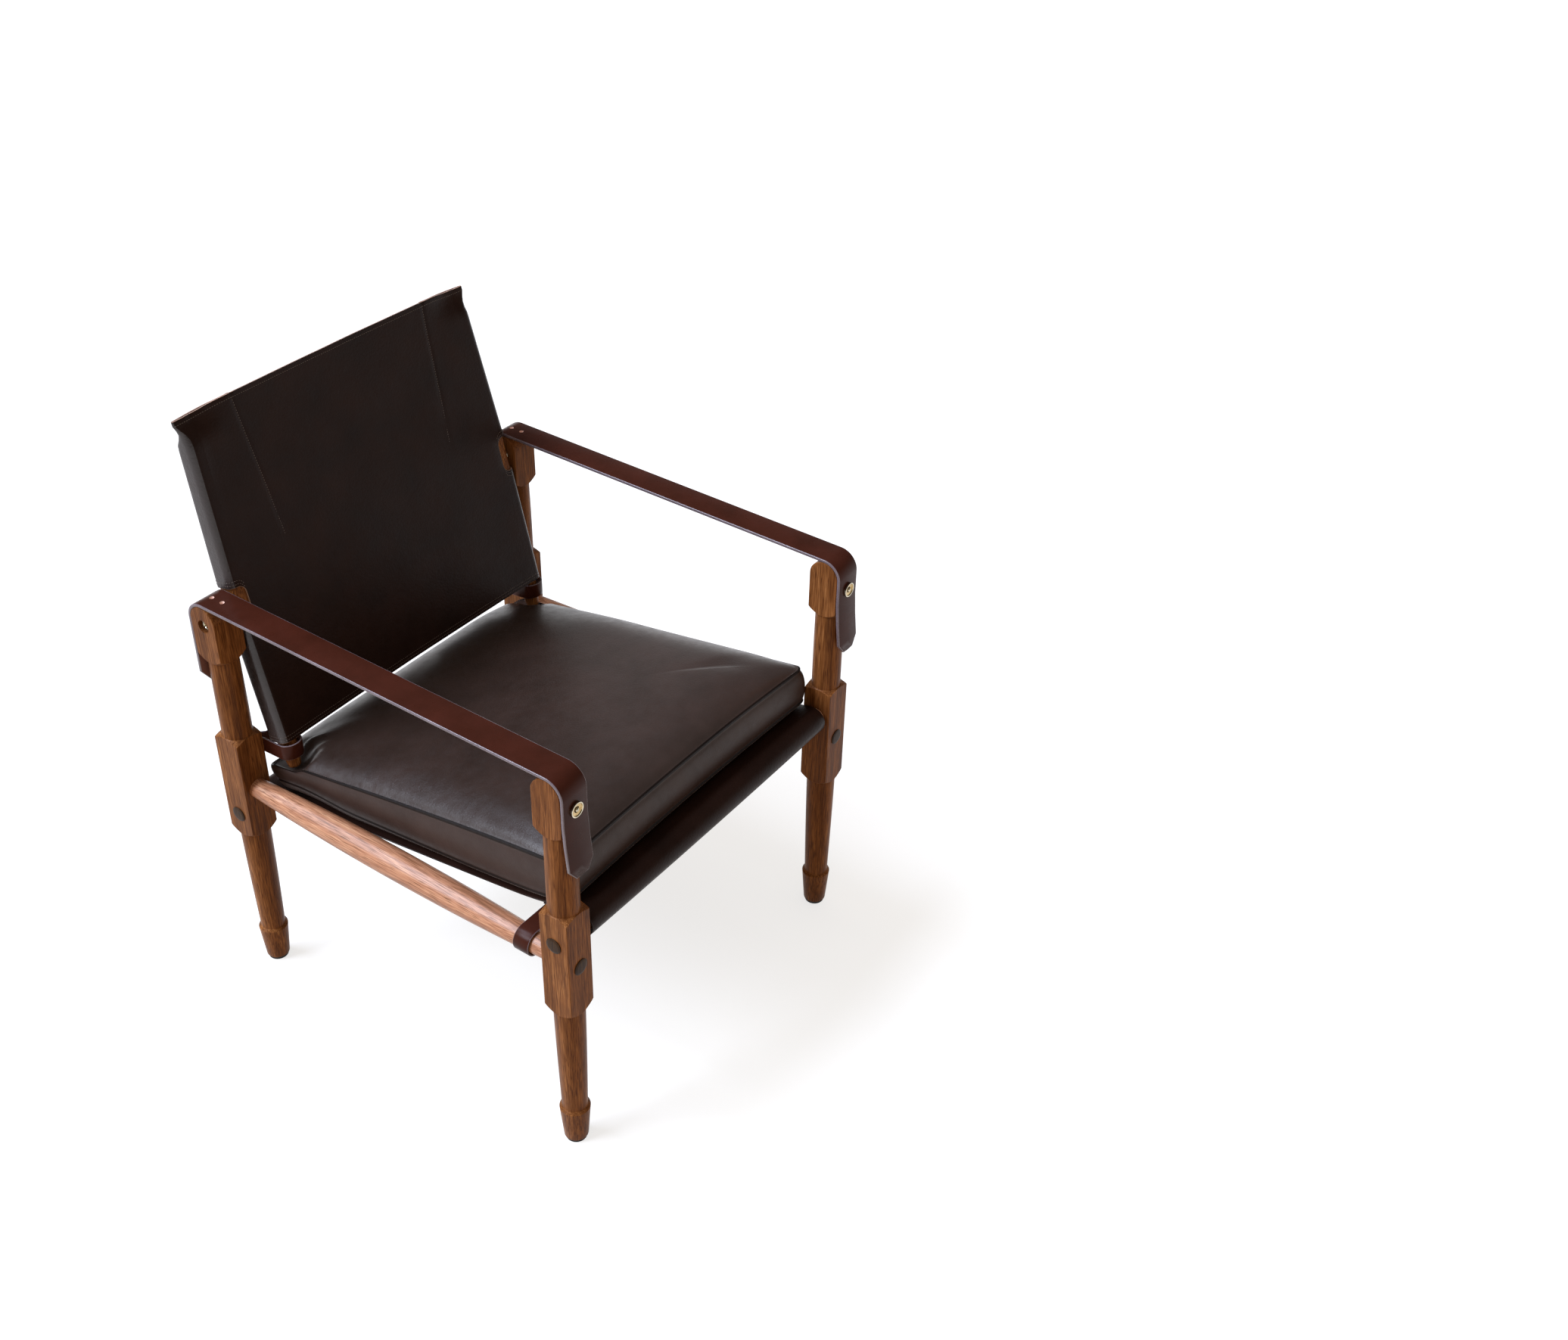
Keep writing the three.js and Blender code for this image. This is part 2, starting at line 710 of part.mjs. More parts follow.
// The tip of a post at rest and at the end of its swing, as [along the rake, above it]
const tipPlaces = [backLean, backLean - tiltTravel].map((lean) => {
  const y = halfDeep - postTip * Math.sin(lean) - postTipRadius * Math.cos(lean);
  const z = pivotHeight - postTip * Math.cos(lean);
  const tip = new THREE.Vector3(0, y + halfDeep, z - frontRailHeight);
  return [tip.dot(rakeBack), tip.dot(rakeUp)];
});
const dimpleFull = Math.min(...tipPlaces.map(([along]) => along)) - dimpleGap;
const dimpleTop = Math.min(...tipPlaces.map(([, above]) => above)) - dimpleGap;
const dimpleOuter = innerFace - postSideGap - postWidth - dimpleGap;

function cushionPoint(x, b, height, crownShare) {
  const bed = sleeveLine(Math.min(Math.abs(x), sleeveReach)) + slingLeather / 2 + runningGap;
  const pressed = (dimpleTop - bed) / (seamHeight + crownHeight);
  const near = smooth(dimpleOuter - dimpleSlope, dimpleOuter, Math.abs(x))
    * smooth(dimpleFull - dimpleSlope, dimpleFull, b);
  return onRake(x, b, bed + (height + crownHeight * crownShare) * lerp(1, pressed, near));
}

function cushionGeometry() {
  const outline = cushionOutline();
  const middle = (cushionFront + cushionRear) / 2;
  const positions = [];
  const index = [];
  const add = (point) => {
    positions.push(point.x, point.y, point.z);
    return positions.length / 3 - 1;
  };
  const foot = add(cushionPoint(0, middle, 0, 0));
  const loops = cushionRingShares.map(([share, height, crown]) => outline.map(([x, b]) => (
    add(cushionPoint(x * share, middle + (b - middle) * share, height * seamHeight, crown)))));
  const head = add(cushionPoint(0, middle, seamHeight, 1));
  const count = outline.length;
  for (let k = 0; k < count; k += 1) {
    const next = (k + 1) % count;
    index.push(foot, loops[0][next], loops[0][k]);
    for (let ring = 0; ring < loops.length - 1; ring += 1) {
      const [low, high] = [loops[ring], loops[ring + 1]];
      index.push(low[k], high[next], high[k], low[k], low[next], high[next]);
    }
    const last = loops[loops.length - 1];
    index.push(last[k], last[next], head);
  }
  const geometry = new THREE.BufferGeometry();
  geometry.setAttribute('position', new THREE.Float32BufferAttribute(positions, 3));
  geometry.setIndex(index);
  return geometry;
}

place(chair, 'seat_cushion', cushionGeometry(), finishes.leather);

// Back posts, in the back's own frame: x across, y to the rear, z up along the post

const postOuter = innerFace - postSideGap;
const postMiddle = postOuter - postWidth / 2;
const halfPostDepth = postDepth / 2;

function postGeometry(xSign) {
  const w = postWidth / 2;
  const outline = new THREE.Shape([
    [-w + postEdge, -halfPostDepth], [w - postEdge, -halfPostDepth], [w, -halfPostDepth + postEdge],
    [w, halfPostDepth - postEdge], [w - postEdge, halfPostDepth], [-w + postEdge, halfPostDepth],
    [-w, halfPostDepth - postEdge], [-w, -halfPostDepth + postEdge],
  ].map(([x, y]) => new THREE.Vector2(x, y)));
  const length = postTop + postTip;
  const stock = new THREE.ExtrudeGeometry(outline, { depth: length + overrun, bevelEnabled: false });
  stock.translate(0, 0, -postTip - overrun);
  const outside = postWidth;
  const topRound = postRoundRadius;
  const profile = turned([
    [0, -postTip],
    [postTipRadius - postTipRound, -postTip],
    [postTipRadius, -postTip + postTipRound],
    [postRoundRadius, -postTip + postTaperLength],
    [postRoundRadius, -postSquareEnd],
    [outside, -postSquareEnd + outside - postRoundRadius],
    [outside, postTop - outside + topRound],
    [topRound, postTop],
    [0, postTop],
  ]);
  const out = crossRun.clone().multiplyScalar(xSign);
  const boreFoot = out.clone().multiplyScalar(w - insertLength - fitGap + overrun);
  const bore = drill(insertRadius + fitGap, boreFoot, out, insertLength);
  return geometryOf(cut(solidOf(stock).intersect(solidOf(profile)), [bore]));
}

for (const [side, xSign] of sides) {
  const out = crossRun.clone().multiplyScalar(xSign);
  const spot = new THREE.Vector3(xSign * postMiddle, 0, 0);
  place(back, `back_post_${side}`, postGeometry(xSign), finishes.walnut, spot);

  const insertFoot = out.clone().multiplyScalar(postOuter - insertLength);
  const insert = cut(solidOf(rod(insertRadius, insertLength)), [
    drill(boltRadius + fitGap, new THREE.Vector3(), upward, insertLength)]);
  place(back, `post_insert_${side}`, aimed(geometryOf(insert), insertFoot, out), finishes.brass);

  const washerThickness = postSideGap - fitGap - fitGap;
  const washer = cut(solidOf(rod(washerRadius, washerThickness, roundSides)), [
    drill(boltRadius + fitGap, new THREE.Vector3(), upward, washerThickness)]);
  const washerFoot = out.clone().multiplyScalar(postOuter + fitGap);
  place(back, `pivot_washer_${side}`, aimed(geometryOf(washer), washerFoot, out), finishes.steel);

  const seat = halfWide + halfStock - counterboreDepth + fitGap;
  const tip = postOuter - insertLength + fitGap;
  const bolt = turned([
    [0, 0],
    [boltRadius, 0],
    [boltRadius, seat - tip],
    [boltHeadRadius, seat - tip],
    [boltHeadRadius, seat - tip + boltHeadHeight],
    [boltSocketRadius, seat - tip + boltHeadHeight],
    [boltSocketRadius, seat - tip + boltHeadHeight - boltSocketDepth],
    [0, seat - tip + boltHeadHeight - boltSocketDepth],
  ], smallSides);
  place(back, `pivot_bolt_${side}`, aimed(bolt, out.clone().multiplyScalar(tip), out), finishes.steel);
}

// Back sling: one panel on the front of the posts that wraps round both of them. Above the pivot
// the wraps are sewn to the panel, and below it they are loose flaps with two eyelets each.

const wrapGap = runningGap;
const slingFace = halfPostDepth + wrapGap + slingLeather / 2;
const slingOuter = postOuter + wrapGap + slingLeather / 2;
const slingInner = postMiddle - postWidth / 2;
const cutoutReach = slingInner + cutoutInset;

function slingTop(x) {
  const start = slingInner - slingTopBreak;
  const share = Math.max(0, Math.abs(x) - start) / (slingOuter - start);
  return lerp(slingTopMiddle, slingTopCorner, share);
}

function panelDepth(x) {
  return -slingFace + slingSag * Math.max(0, 1 - (x / cutoutReach) ** 2);
}

// The wrap round a post as [x, y] points, from the panel round the outside to the back
function wrapPath(endX, endY) {
  const corner = slingCorner;
  const bend = Math.SQRT1_2 * corner;
  return [
    [slingOuter - corner, -slingFace],
    [slingOuter - corner + bend, -slingFace + corner - bend],
    [slingOuter, -slingFace + corner],
    [slingOuter, slingFace - corner],
    [slingOuter - corner + bend, slingFace - corner + bend],
    [slingOuter - corner, slingFace],
    [slingInner, slingFace],
    [(slingInner + endX) / 2, (slingFace + endY) / 2],
    [endX, endY],
  ];
}

function backSlingGeometry() {
  const panelSteps = 8;
  const lowSteps = 4;
  const highSteps = 4;
  const panel = [];
  for (let i = 0; i <= panelSteps; i += 1) {
    panel.push(lerp(-cutoutReach, cutoutReach, i / panelSteps));
  }
  const wrapCount = wrapPath(lowerFlapEnd, slingFace).length;
  // Rows up the sling: below the cut-out, then above it
  const rows = lowSteps + highSteps + 2;
  const grid = [];
  const wrapPoint = (k, share, low, sign) => {
    if (low) {
      const path = wrapPath(lowerFlapEnd, slingFace);
      const [x, y] = path[k];
      const reach = Math.max(0, slingOuter - slingCorner - x) / (slingOuter - slingCorner - lowerFlapEnd);
      const edge = lerp(lowerFlapOuter, lowerFlapInner, reach);
      return new THREE.Vector3(sign * x, y, lerp(-slingBottom, -edge, share));
    }
    const seam = slingInner - lerp(upperSeamFoot, upperSeamTop, share);
    const path = wrapPath(seam, panelDepth(seam) + slingLeather + fitGap);
    const [x, y] = path[k];
    const reach = Math.max(0, slingOuter - slingCorner - x) / (slingOuter - slingCorner - seam);
    const edge = lerp(upperFlapOuter, upperFlapInner, reach);
    return new THREE.Vector3(sign * x, y, lerp(edge, slingTop(x), share));
  };
  for (let j = 0; j < rows; j += 1) {
    const low = j <= lowSteps;
    const share = low ? j / lowSteps : (j - lowSteps - 1) / highSteps;
    const row = [];
    for (let k = wrapCount - 1; k >= 0; k -= 1) row.push(wrapPoint(k, share, low, -1));
    panel.forEach((x) => {
      const from = low ? -slingBottom : upperFlapOuter;
      const to = low ? -lowerFlapOuter : slingTop(x);
      row.push(new THREE.Vector3(x, panelDepth(x), lerp(from, to, share)));
    });
    for (let k = 0; k < wrapCount; k += 1) row.push(wrapPoint(k, share, low, 1));
    grid.push(row);
  }
  const panelStart = wrapCount;
  const panelEnd = wrapCount + panel.length - 1;
  const keep = (i, j) => i !== lowSteps || (j >= panelStart && j < panelEnd);
  const leather = solidOf(sheet(grid, slingLeather, keep));
  const slots = [];
  for (const height of [upperEyelet, lowerEyelet]) {
    for (const sign of [-1, 1]) {
      const slot = oblong(barrelHalfWide + fitGap, barrelHalfTall + fitGap, slingLeather + overrun + overrun);
      slots.push(slot.translate(sign * eyeletOffset, slingFace - slingLeather / 2 - overrun, -height));
    }
  }
  return geometryOf(cut(leather, slots));
}

// A block with round ends, wide along x and tall along z, that runs a depth along +Y
function oblong(halfX, halfZ, depth) {
  const outline = new THREE.Shape();
  const straight = halfZ - halfX;
  outline.moveTo(halfX, -straight);
  outline.absarc(0, straight, halfX, 0, Math.PI, false);
  outline.absarc(0, -straight, halfX, Math.PI, 2 * Math.PI, false);
  outline.closePath();
  const settings = { depth, bevelEnabled: false, curveSegments: oblongSteps };
  const block = new THREE.ExtrudeGeometry(outline, settings);
  return block.rotateX(Math.PI / 2).translate(0, depth, 0);
}

function eyeletGeometry() {
  const flange = flangeRise;
  const gap = fitGap;
  const barrel = slingLeather + gap + gap;
  const tall = barrel + flange + flange;
  const inner = solidOf(oblong(eyeletHalfWide, eyeletHalfTall, flange));
  const outer = solidOf(oblong(eyeletHalfWide, eyeletHalfTall, flange).translate(0, flange + barrel, 0));
  const tube = solidOf(oblong(barrelHalfWide, barrelHalfTall, tall));
  const mouth = oblong(mouthHalfWide, mouthHalfTall, tall + overrun + overrun).translate(0, -overrun, 0);
  return geometryOf(cut(tube.add(inner).add(outer), [mouth]));
}

place(back, 'back_sling', backSlingGeometry(), finishes.leather);

const straps = [['upper', upperEyelet, upperDroop, upperBow], ['lower', lowerEyelet, lowerDroop, lowerBow]];
const eyeletFoot = slingFace - slingLeather / 2 - fitGap - flangeRise;
const eyeletHead = slingFace + slingLeather / 2 + fitGap + flangeRise;
const outerLine = eyeletHead + fitGap + tensionLeather / 2;
const innerLine = eyeletFoot - fitGap - tensionLeather / 2;
const lapLine = outerLine + tensionLeather + fitGap;

for (const [level, height] of straps) {
  for (const [side, sign] of sides) {
    const spot = new THREE.Vector3(sign * eyeletOffset, eyeletFoot, -height);
    place(back, `eyelet_${level}_${side}`, eyeletGeometry(), finishes.brass, spot);
  }
}

// How far the inner end has risen above the line between the eyelets
function innerRise(x) {
  return innerLift * Math.max(0, engagedStud - x) / (engagedStud + innerTipReach);
}

// Tension straps: one strap each, through all four turns of a flat loop, buttoned over itself.
// The inner end lies on the flaps, and the outer end laps over it.
function tensionStrapGeometry(height, droop, bow) {
  const mouthTurn = mouthHalfWide * mouthTurnShare;
  const outerPoint = (x) => {
    const share = THREE.MathUtils.clamp((engagedStud - x) / (engagedStud + eyeletOffset), 0, 1);
    const belly = Math.sin(share ** bellyShare * Math.PI);
    const line = lerp(lapLine, outerLine, smooth(0, lapEndShare, share));
    return [x, line + bow * belly, -height - droop * belly];
  };
  const outerStops = [
    outerTipReach,
    (outerTipReach + engagedStud) / 2,
    engagedStud,
    ...outerStationShares.map((share) => lerp(engagedStud, -eyeletOffset, share)),
  ];
  const innerPoint = (x) => {
    return [x, outerLine, -height + innerRise(x)];
  };
  const path = outerStops.map(outerPoint);
  path.push([-eyeletOffset + mouthTurn, outerLine, -height]);
  path.push([-eyeletOffset, eyeletHead, -height]);
  path.push([-eyeletOffset, eyeletFoot, -height]);
  path.push([-eyeletOffset + mouthTurn, innerLine, -height]);
  path.push([eyeletOffset - mouthTurn, innerLine, -height]);
  path.push([eyeletOffset, eyeletFoot, -height]);
  path.push([eyeletOffset, eyeletHead, -height]);
  path.push([eyeletOffset - mouthTurn, outerLine, -height]);
  path.push(innerPoint(engagedStud));
  for (const share of innerStationShares) path.push(innerPoint(lerp(engagedStud, -innerTipReach, share)));
  const points = path.map(([x, y, z]) => new THREE.Vector3(x, y, z));
  const halfWidths = points.map(() => tensionWidth / 2);
  halfWidths[0] *= tipWidthShare;
  halfWidths[halfWidths.length - 1] *= tipWidthShare;
  const leather = solidOf(strap(points, halfWidths, upward, tensionLeather));
  const holes = [engagedStud, freeStud].map((x) => {
    const z = innerPoint(x)[2];
    const foot = new THREE.Vector3(x, outerLine - tensionLeather, z);
    const reach = x === engagedStud ? lapLine - outerLine + tensionLeather + tensionLeather : tensionLeather;
    return drill(ballStemRadius + fitGap, foot, sideRun, reach);
  });
  return geometryOf(cut(leather, holes));
}

function ballStud(layers) {
  const seat = -tensionLeather / 2 - fitGap;
  const neck = tensionLeather * layers - tensionLeather / 2 + fitGap * layers + fitGap;
  const profile = [
    [0, seat - ballBaseHeight],
    [ballBaseRadius, seat - ballBaseHeight],
    [ballBaseRadius, seat],
    [ballStemRadius, seat],
    [ballStemRadius, neck],
  ];
  const start = Math.acos(ballStemRadius / ballRadius);
  const arcSteps = 4;
  for (let i = 0; i <= arcSteps; i += 1) {
    const angle = lerp(-start, Math.PI / 2, i / arcSteps);
    const radius = i === arcSteps ? 0 : ballRadius * Math.cos(angle);
    profile.push([radius, neck + ballRadius * (Math.sin(start) + Math.sin(angle))]);
  }
  return turned(profile, smallSides);
}

for (const [level, height, droop, bow] of straps) {
  place(back, `tension_strap_${level}`, tensionStrapGeometry(height, droop, bow), finishes.strap);
  const engagedFoot = new THREE.Vector3(engagedStud, outerLine, -height);
  place(back, `ball_stud_${level}_engaged`, aimed(ballStud(2), engagedFoot, sideRun), finishes.brass);
  const freeFoot = new THREE.Vector3(freeStud, outerLine, -height + innerRise(freeStud));
  place(back, `ball_stud_${level}_free`, aimed(ballStud(1), freeFoot, sideRun), finishes.brass);
}

// Retaining straps: a loop from each rear leg round the foot of the post, which stops the back
// from leaning further and leaves the post room to swing back to the leg

const postDrop = pivotHeight - retainingMiddle;
const loopHalf = retainingHeight / 2;
const postFrontDrop = (postDrop + loopHalf) * Math.tan(backLean);
const postFront = halfDeep - postFrontDrop - postRoundRadius / Math.cos(backLean);
const postRear = halfDeep - (postDrop - loopHalf) * Math.tan(backLean - tiltTravel) + postRoundRadius;

function retainingPath() {
  const line = slingLeather / 2;
  const legSide = innerFace - fitGap - line;
  const around = postRoundRadius + runningGap + facetAllowance + line;
  const seatSide = postMiddle - around;
  const front = postFront + postRoundRadius - around;
  const rear = halfDeep + halfStock - fitGap;
  const lap = legSide - slingLeather - fitGap;
  const centre = (legSide + seatSide) / 2;
  const reachX = (legSide - seatSide) / 2;
  const shoulder = postFront + postRoundRadius;
  const path = [
    [legSide, rear],
    [legSide, rear - retainingScrewInset * lapMeetShare],
    [legSide, lerp(shoulder, rear, loopMiddleShare)],
  ];
  const turnSteps = 8;
  const cornerSteps = 4;
  for (let i = 0; i <= turnSteps; i += 1) {
    const angle = (i / turnSteps) * Math.PI;
    path.push([centre + reachX * Math.cos(angle), shoulder - (shoulder - front) * Math.sin(angle)]);
  }
  const heel = postRear - postRoundRadius;
  for (let i = 0; i <= cornerSteps; i += 1) {
    const angle = (i / cornerSteps) * Math.PI / 2;
    path.push([centre - reachX * Math.cos(angle), heel + around * Math.sin(angle)]);
  }
  path.push([lap, rear - retainingScrewInset * lapMeetShare]);
  path.push([lap, rear]);
  return path;
}

for (const [side, xSign] of sides) {
  const path = retainingPath().map(([x, y]) => new THREE.Vector3(xSign * x, y, retainingMiddle));
  const across = new THREE.Vector3(0, 0, xSign);
  const band = solidOf(strap(path, path.map(() => loopHalf), across, slingLeather));
  const inward = crossRun.clone().multiplyScalar(-xSign);
  const screwY = halfDeep + halfStock - retainingScrewInset;
  const face = new THREE.Vector3(xSign * innerFace, screwY, retainingMiddle);
  const hole = drill(screwRadius + fitGap, face, inward, slingLeather * 2 + fitGap * 2);
  place(chair, `retaining_strap_${side}`, geometryOf(cut(band, [hole])), finishes.strap);

  const seat = slingLeather * 2 + fitGap * 3;
  const screw = turned([
    [0, -screwDepth + fitGap],
    [screwRadius, -screwDepth + fitGap],
    [screwRadius, seat],
    [screwHeadRadius, seat],
    [screwHeadRadius * screwCrownShare, seat + screwHeadRise * screwCrownShare],
    [0, seat + screwHeadRise],
  ], smallSides);
  place(chair, `retaining_screw_${side}`, aimed(screw, face, inward), finishes.steel);
}

// Seat belt: a strap round both side rails, close behind the front legs, lapped and studded below

const beltY = -halfDeep + beltFromFront;

function railRadiusAt(y) {
  const shoulder = halfDeep - halfStock;
  return railEndRadius + sideRailSwell * (1 - (y / shoulder) ** 2);
}

const beltLine = railRadiusAt(Math.abs(beltY) - beltWidth / 2) + fitGap + facetAllowance + beltLeather / 2;
const beltLapLine = beltLine + beltLeather + fitGap;

// From the inner end, under the chair, round both rails, and back under the inner end
function beltPath() {
  const path = [[-beltLap / 2, -beltLine]];
  for (const sign of [1, -1]) {
    for (let i = 0; i <= bendSteps; i += 1) {
      const angle = (i / bendSteps) * Math.PI;
      const [sin, cos] = [Math.sin(angle), Math.cos(angle)];
      const turn = sign > 0 ? -1 : 1;
      path.push([sign * (halfWide + beltLine * sin), turn * beltLine * cos]);
    }
  }
  path.push([-beltLap / 2 - beltJog, -beltLine]);
  path.push([-beltLap / 2 - fitGap, -beltLapLine]);
  path.push([beltLap / 2, -beltLapLine]);
  return path.map(([x, z]) => new THREE.Vector3(x, beltY, sideRailHeight + z));
}

function beltGeometry() {
  const path = beltPath();
  const band = solidOf(strap(path, path.map(() => beltWidth / 2), sideRun, beltLeather));
  const down = new THREE.Vector3(0, 0, -1);
  const holes = [-beltStudInset, beltStudInset].map((x) => drill(
    screwRadius + fitGap, new THREE.Vector3(x, beltY, sideRailHeight - beltLine + beltLeather / 2), down,
    beltLeather * 2 + fitGap * 2));
  return geometryOf(cut(band, holes));
}

function beltStud() {
  const grip = beltLeather * 2 + fitGap * 3;
  const rivet = [
    [0, -beltStudRise],
    [beltStudRadius * rivetCrownShare, -beltStudRise],
    [beltStudRadius, -beltStudRise * rivetRimShare],
    [beltStudRadius, 0],
    [screwRadius, 0],
    [screwRadius, grip],
    [beltStudRadius, grip],
    [beltStudRadius, grip + beltStudRise * rivetRimShare],
    [beltStudRadius * rivetCrownShare, grip + beltStudRise],
    [0, grip + beltStudRise],
  ];
  return turned(rivet, smallSides);
}

place(chair, 'seat_belt', beltGeometry(), finishes.strap);
for (const [side, xSign] of sides) {
  const head = new THREE.Vector3(
    xSign * beltStudInset, beltY, sideRailHeight - beltLine + beltLeather / 2 + fitGap);
  place(chair, `belt_stud_${side}`, aimed(beltStud(), head, new THREE.Vector3(0, 0, -1)), finishes.steel);
}

// The origin goes under the middle of the whole chair's length
const extent = new THREE.Box3().setFromObject(chair, true);
chair.position.y = -(extent.min.y + extent.max.y) / 2;

export default chair;
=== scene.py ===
# Campaign chair: four turned walnut legs, loose rails, a seat and a back slung in leather, a box
# cushion, arms of strap leather, and a back that tilts between the rear legs.
# Lengths are in millimetres in two frames. The chair's frame has its origin on the floor between
# the four legs. The back's frame has its origin between the pivots, with Z up along the posts.

import math
import random

import bmesh
import bpy
from mathutils import Matrix, Vector, noise


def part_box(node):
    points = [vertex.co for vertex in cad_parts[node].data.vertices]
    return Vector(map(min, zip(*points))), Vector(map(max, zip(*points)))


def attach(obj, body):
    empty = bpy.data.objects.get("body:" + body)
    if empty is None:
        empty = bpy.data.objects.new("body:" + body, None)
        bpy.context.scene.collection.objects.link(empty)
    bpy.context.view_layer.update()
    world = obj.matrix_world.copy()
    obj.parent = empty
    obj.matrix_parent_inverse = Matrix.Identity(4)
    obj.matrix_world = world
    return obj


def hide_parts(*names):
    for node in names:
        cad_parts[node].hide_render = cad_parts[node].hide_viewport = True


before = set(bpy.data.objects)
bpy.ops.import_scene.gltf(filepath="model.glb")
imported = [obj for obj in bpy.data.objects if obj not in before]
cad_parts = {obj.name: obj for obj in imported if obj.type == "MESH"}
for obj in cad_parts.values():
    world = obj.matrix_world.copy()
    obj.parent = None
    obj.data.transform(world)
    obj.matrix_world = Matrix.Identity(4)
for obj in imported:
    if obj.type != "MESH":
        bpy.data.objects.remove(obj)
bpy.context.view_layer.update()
chance = random.Random(11)

MM = 0.001
SIDES = {"left": 1, "right": -1}
ENDS = {"front": -1, "rear": 1}

# Frame
HALF_STOCK = 22.25
GLIDE_TOP = 5
CUFF_TOP = 61
LEG_TOP = 640
ARCH_CENTRE = LEG_TOP - HALF_STOCK
PIVOT_HEIGHT = 611
FRONT_RAIL = 376.4
SIDE_RAIL = 335.3
REAR_RAIL = 290.8
STRAP_LEATHER = 4.5
SLING_LEATHER = 2.4
STUD_HEIGHT = 597

# Back, along the post from the pivot
LEAN = math.radians(13.5)
TILT = math.radians(7)
POST_OUTER = 264
POST_INNER = 236
POST_MIDDLE = (POST_OUTER + POST_INNER) / 2
POST_NECK = 13.2
POST_TOP = 250
POST_TIP = 252

low_front, high_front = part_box("leg_front_left")
low_rear, high_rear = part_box("leg_rear_left")
front_axis = (low_front + high_front) / 2
rear_axis = (low_rear + high_rear) / 2
middle_y = (front_axis.y + rear_axis.y) / 2
HALF_WIDE = front_axis.x / MM
HALF_DEEP = (rear_axis.y - front_axis.y) / 2 / MM
INNER_FACE = HALF_WIDE - HALF_STOCK

CHAIR = Matrix.Translation((0, middle_y, 0)) @ Matrix.Scale(MM, 4)
BACK = (
    Matrix.Translation((0, rear_axis.y, PIVOT_HEIGHT * MM))
    @ Matrix.Rotation(-LEAN, 4, "X")
    @ Matrix.Scale(MM, 4)
)
X, Y, Z = Vector((1, 0, 0)), Vector((0, 1, 0)), Vector((0, 0, 1))


# Small tools

def lerp(start, end, share):
    return start + (end - start) * share


def smooth(start, end, value):
    """0 before start, 1 after end, and a soft step between them. Start may be the greater one."""
    share = min(max((value - start) / (end - start), 0), 1)
    return share * share * (3 - 2 * share)


def steps(start, end, count):
    """count + 1 even values from start to end"""
    return [lerp(start, end, k / count) for k in range(count + 1)]


def eased(points, ease, count=4):
    """The same path, with every inner corner rounded"""
    path = [Vector(point) for point in points]
    rounded = [path[0]]
    for before, corner, after in zip(path, path[1:], path[2:]):
        reach = min(ease, (corner - before).length / 2, (after - corner).length / 2)
        start = corner + (before - corner).normalized() * reach
        end = corner + (after - corner).normalized() * reach
        for share in steps(0, 1, count):
            rounded.append(start.lerp(corner, share).lerp(corner.lerp(end, share), share))
    rounded.append(path[-1])
    return rounded


def ripple(point, size, height):
    """A gentle unevenness of that size and height, in millimetres"""
    return noise.noise(Vector(point) / size) * height


# Meshes

def bridge(bm, low, high, material=0):
    """Faces between two closed rings, either of which may be one point"""
    count = max(len(low), len(high))
    for k in range(count):
        n = (k + 1) % count
        rim = [low[k % len(low)], low[n % len(low)], high[n % len(high)], high[k % len(high)]]
        rim = list(dict.fromkeys(rim))
        if len(rim) > 2:
            bm.faces.new(rim).material_index = material


def turned(profile, sides=48, material=0):
    """A solid turned about Z from (radius, height) pairs, the foot first"""
    bm = bmesh.new()
    rings = []
    for radius, height in profile:
        if radius < 0.001:
            rings.append([bm.verts.new((0, 0, height))])
            continue
        angles = [2 * math.pi * k / sides for k in range(sides)]
        rings.append([bm.verts.new((radius * math.cos(a), radius * math.sin(a), height)) for a in angles])
    for low, high in zip(rings, rings[1:]):
        bridge(bm, low, high, material)
    return bm


def aim(bm, foot, direction):
    """Moves a solid so that its foot is at a point and its Z runs along a direction"""
    turn = Z.rotation_difference(Vector(direction).normalized()).to_matrix().to_4x4()
    bmesh.ops.transform(bm, matrix=Matrix.Translation(foot) @ turn, verts=bm.verts)
    return bm


def move(bm, reach):
    """The solid, moved"""
    bmesh.ops.translate(bm, vec=reach, verts=bm.verts)
    return bm


def drill(radius, foot, direction, length, sides, material=0):
    """A round cutter, longer than its cut at both ends"""
    profile = [(0, 0), (radius, 0), (radius, 3 * length), (0, 3 * length)]
    return aim(turned(profile, sides, material), Vector(foot) - Vector(direction) * length, direction)


def cut(bm, tools):
    """The solid with the tools cut away. The cut faces keep the tools' material number."""
    for tool in tools:
        blanks = []
        for part in (bm, tool):
            bmesh.ops.recalc_face_normals(part, faces=part.faces)
            mesh = bpy.data.meshes.new("blank")
            part.to_mesh(mesh)
            part.free()
            for _ in range(4):
                mesh.materials.append(None)
            blank = bpy.data.objects.new("blank", mesh)
            bpy.context.collection.objects.link(blank)
            blanks.append(blank)
        cutter = blanks[0].modifiers.new("cut", "BOOLEAN")
        cutter.object = blanks[1]
        cutter.solver = "EXACT"
        blanks[1].hide_set(True)
        graph = bpy.context.evaluated_depsgraph_get()
        bm = bmesh.new()
        bm.from_mesh(blanks[0].evaluated_get(graph).to_mesh())
        for blank in blanks:
            bpy.data.meshes.remove(blank.data)
    return bm


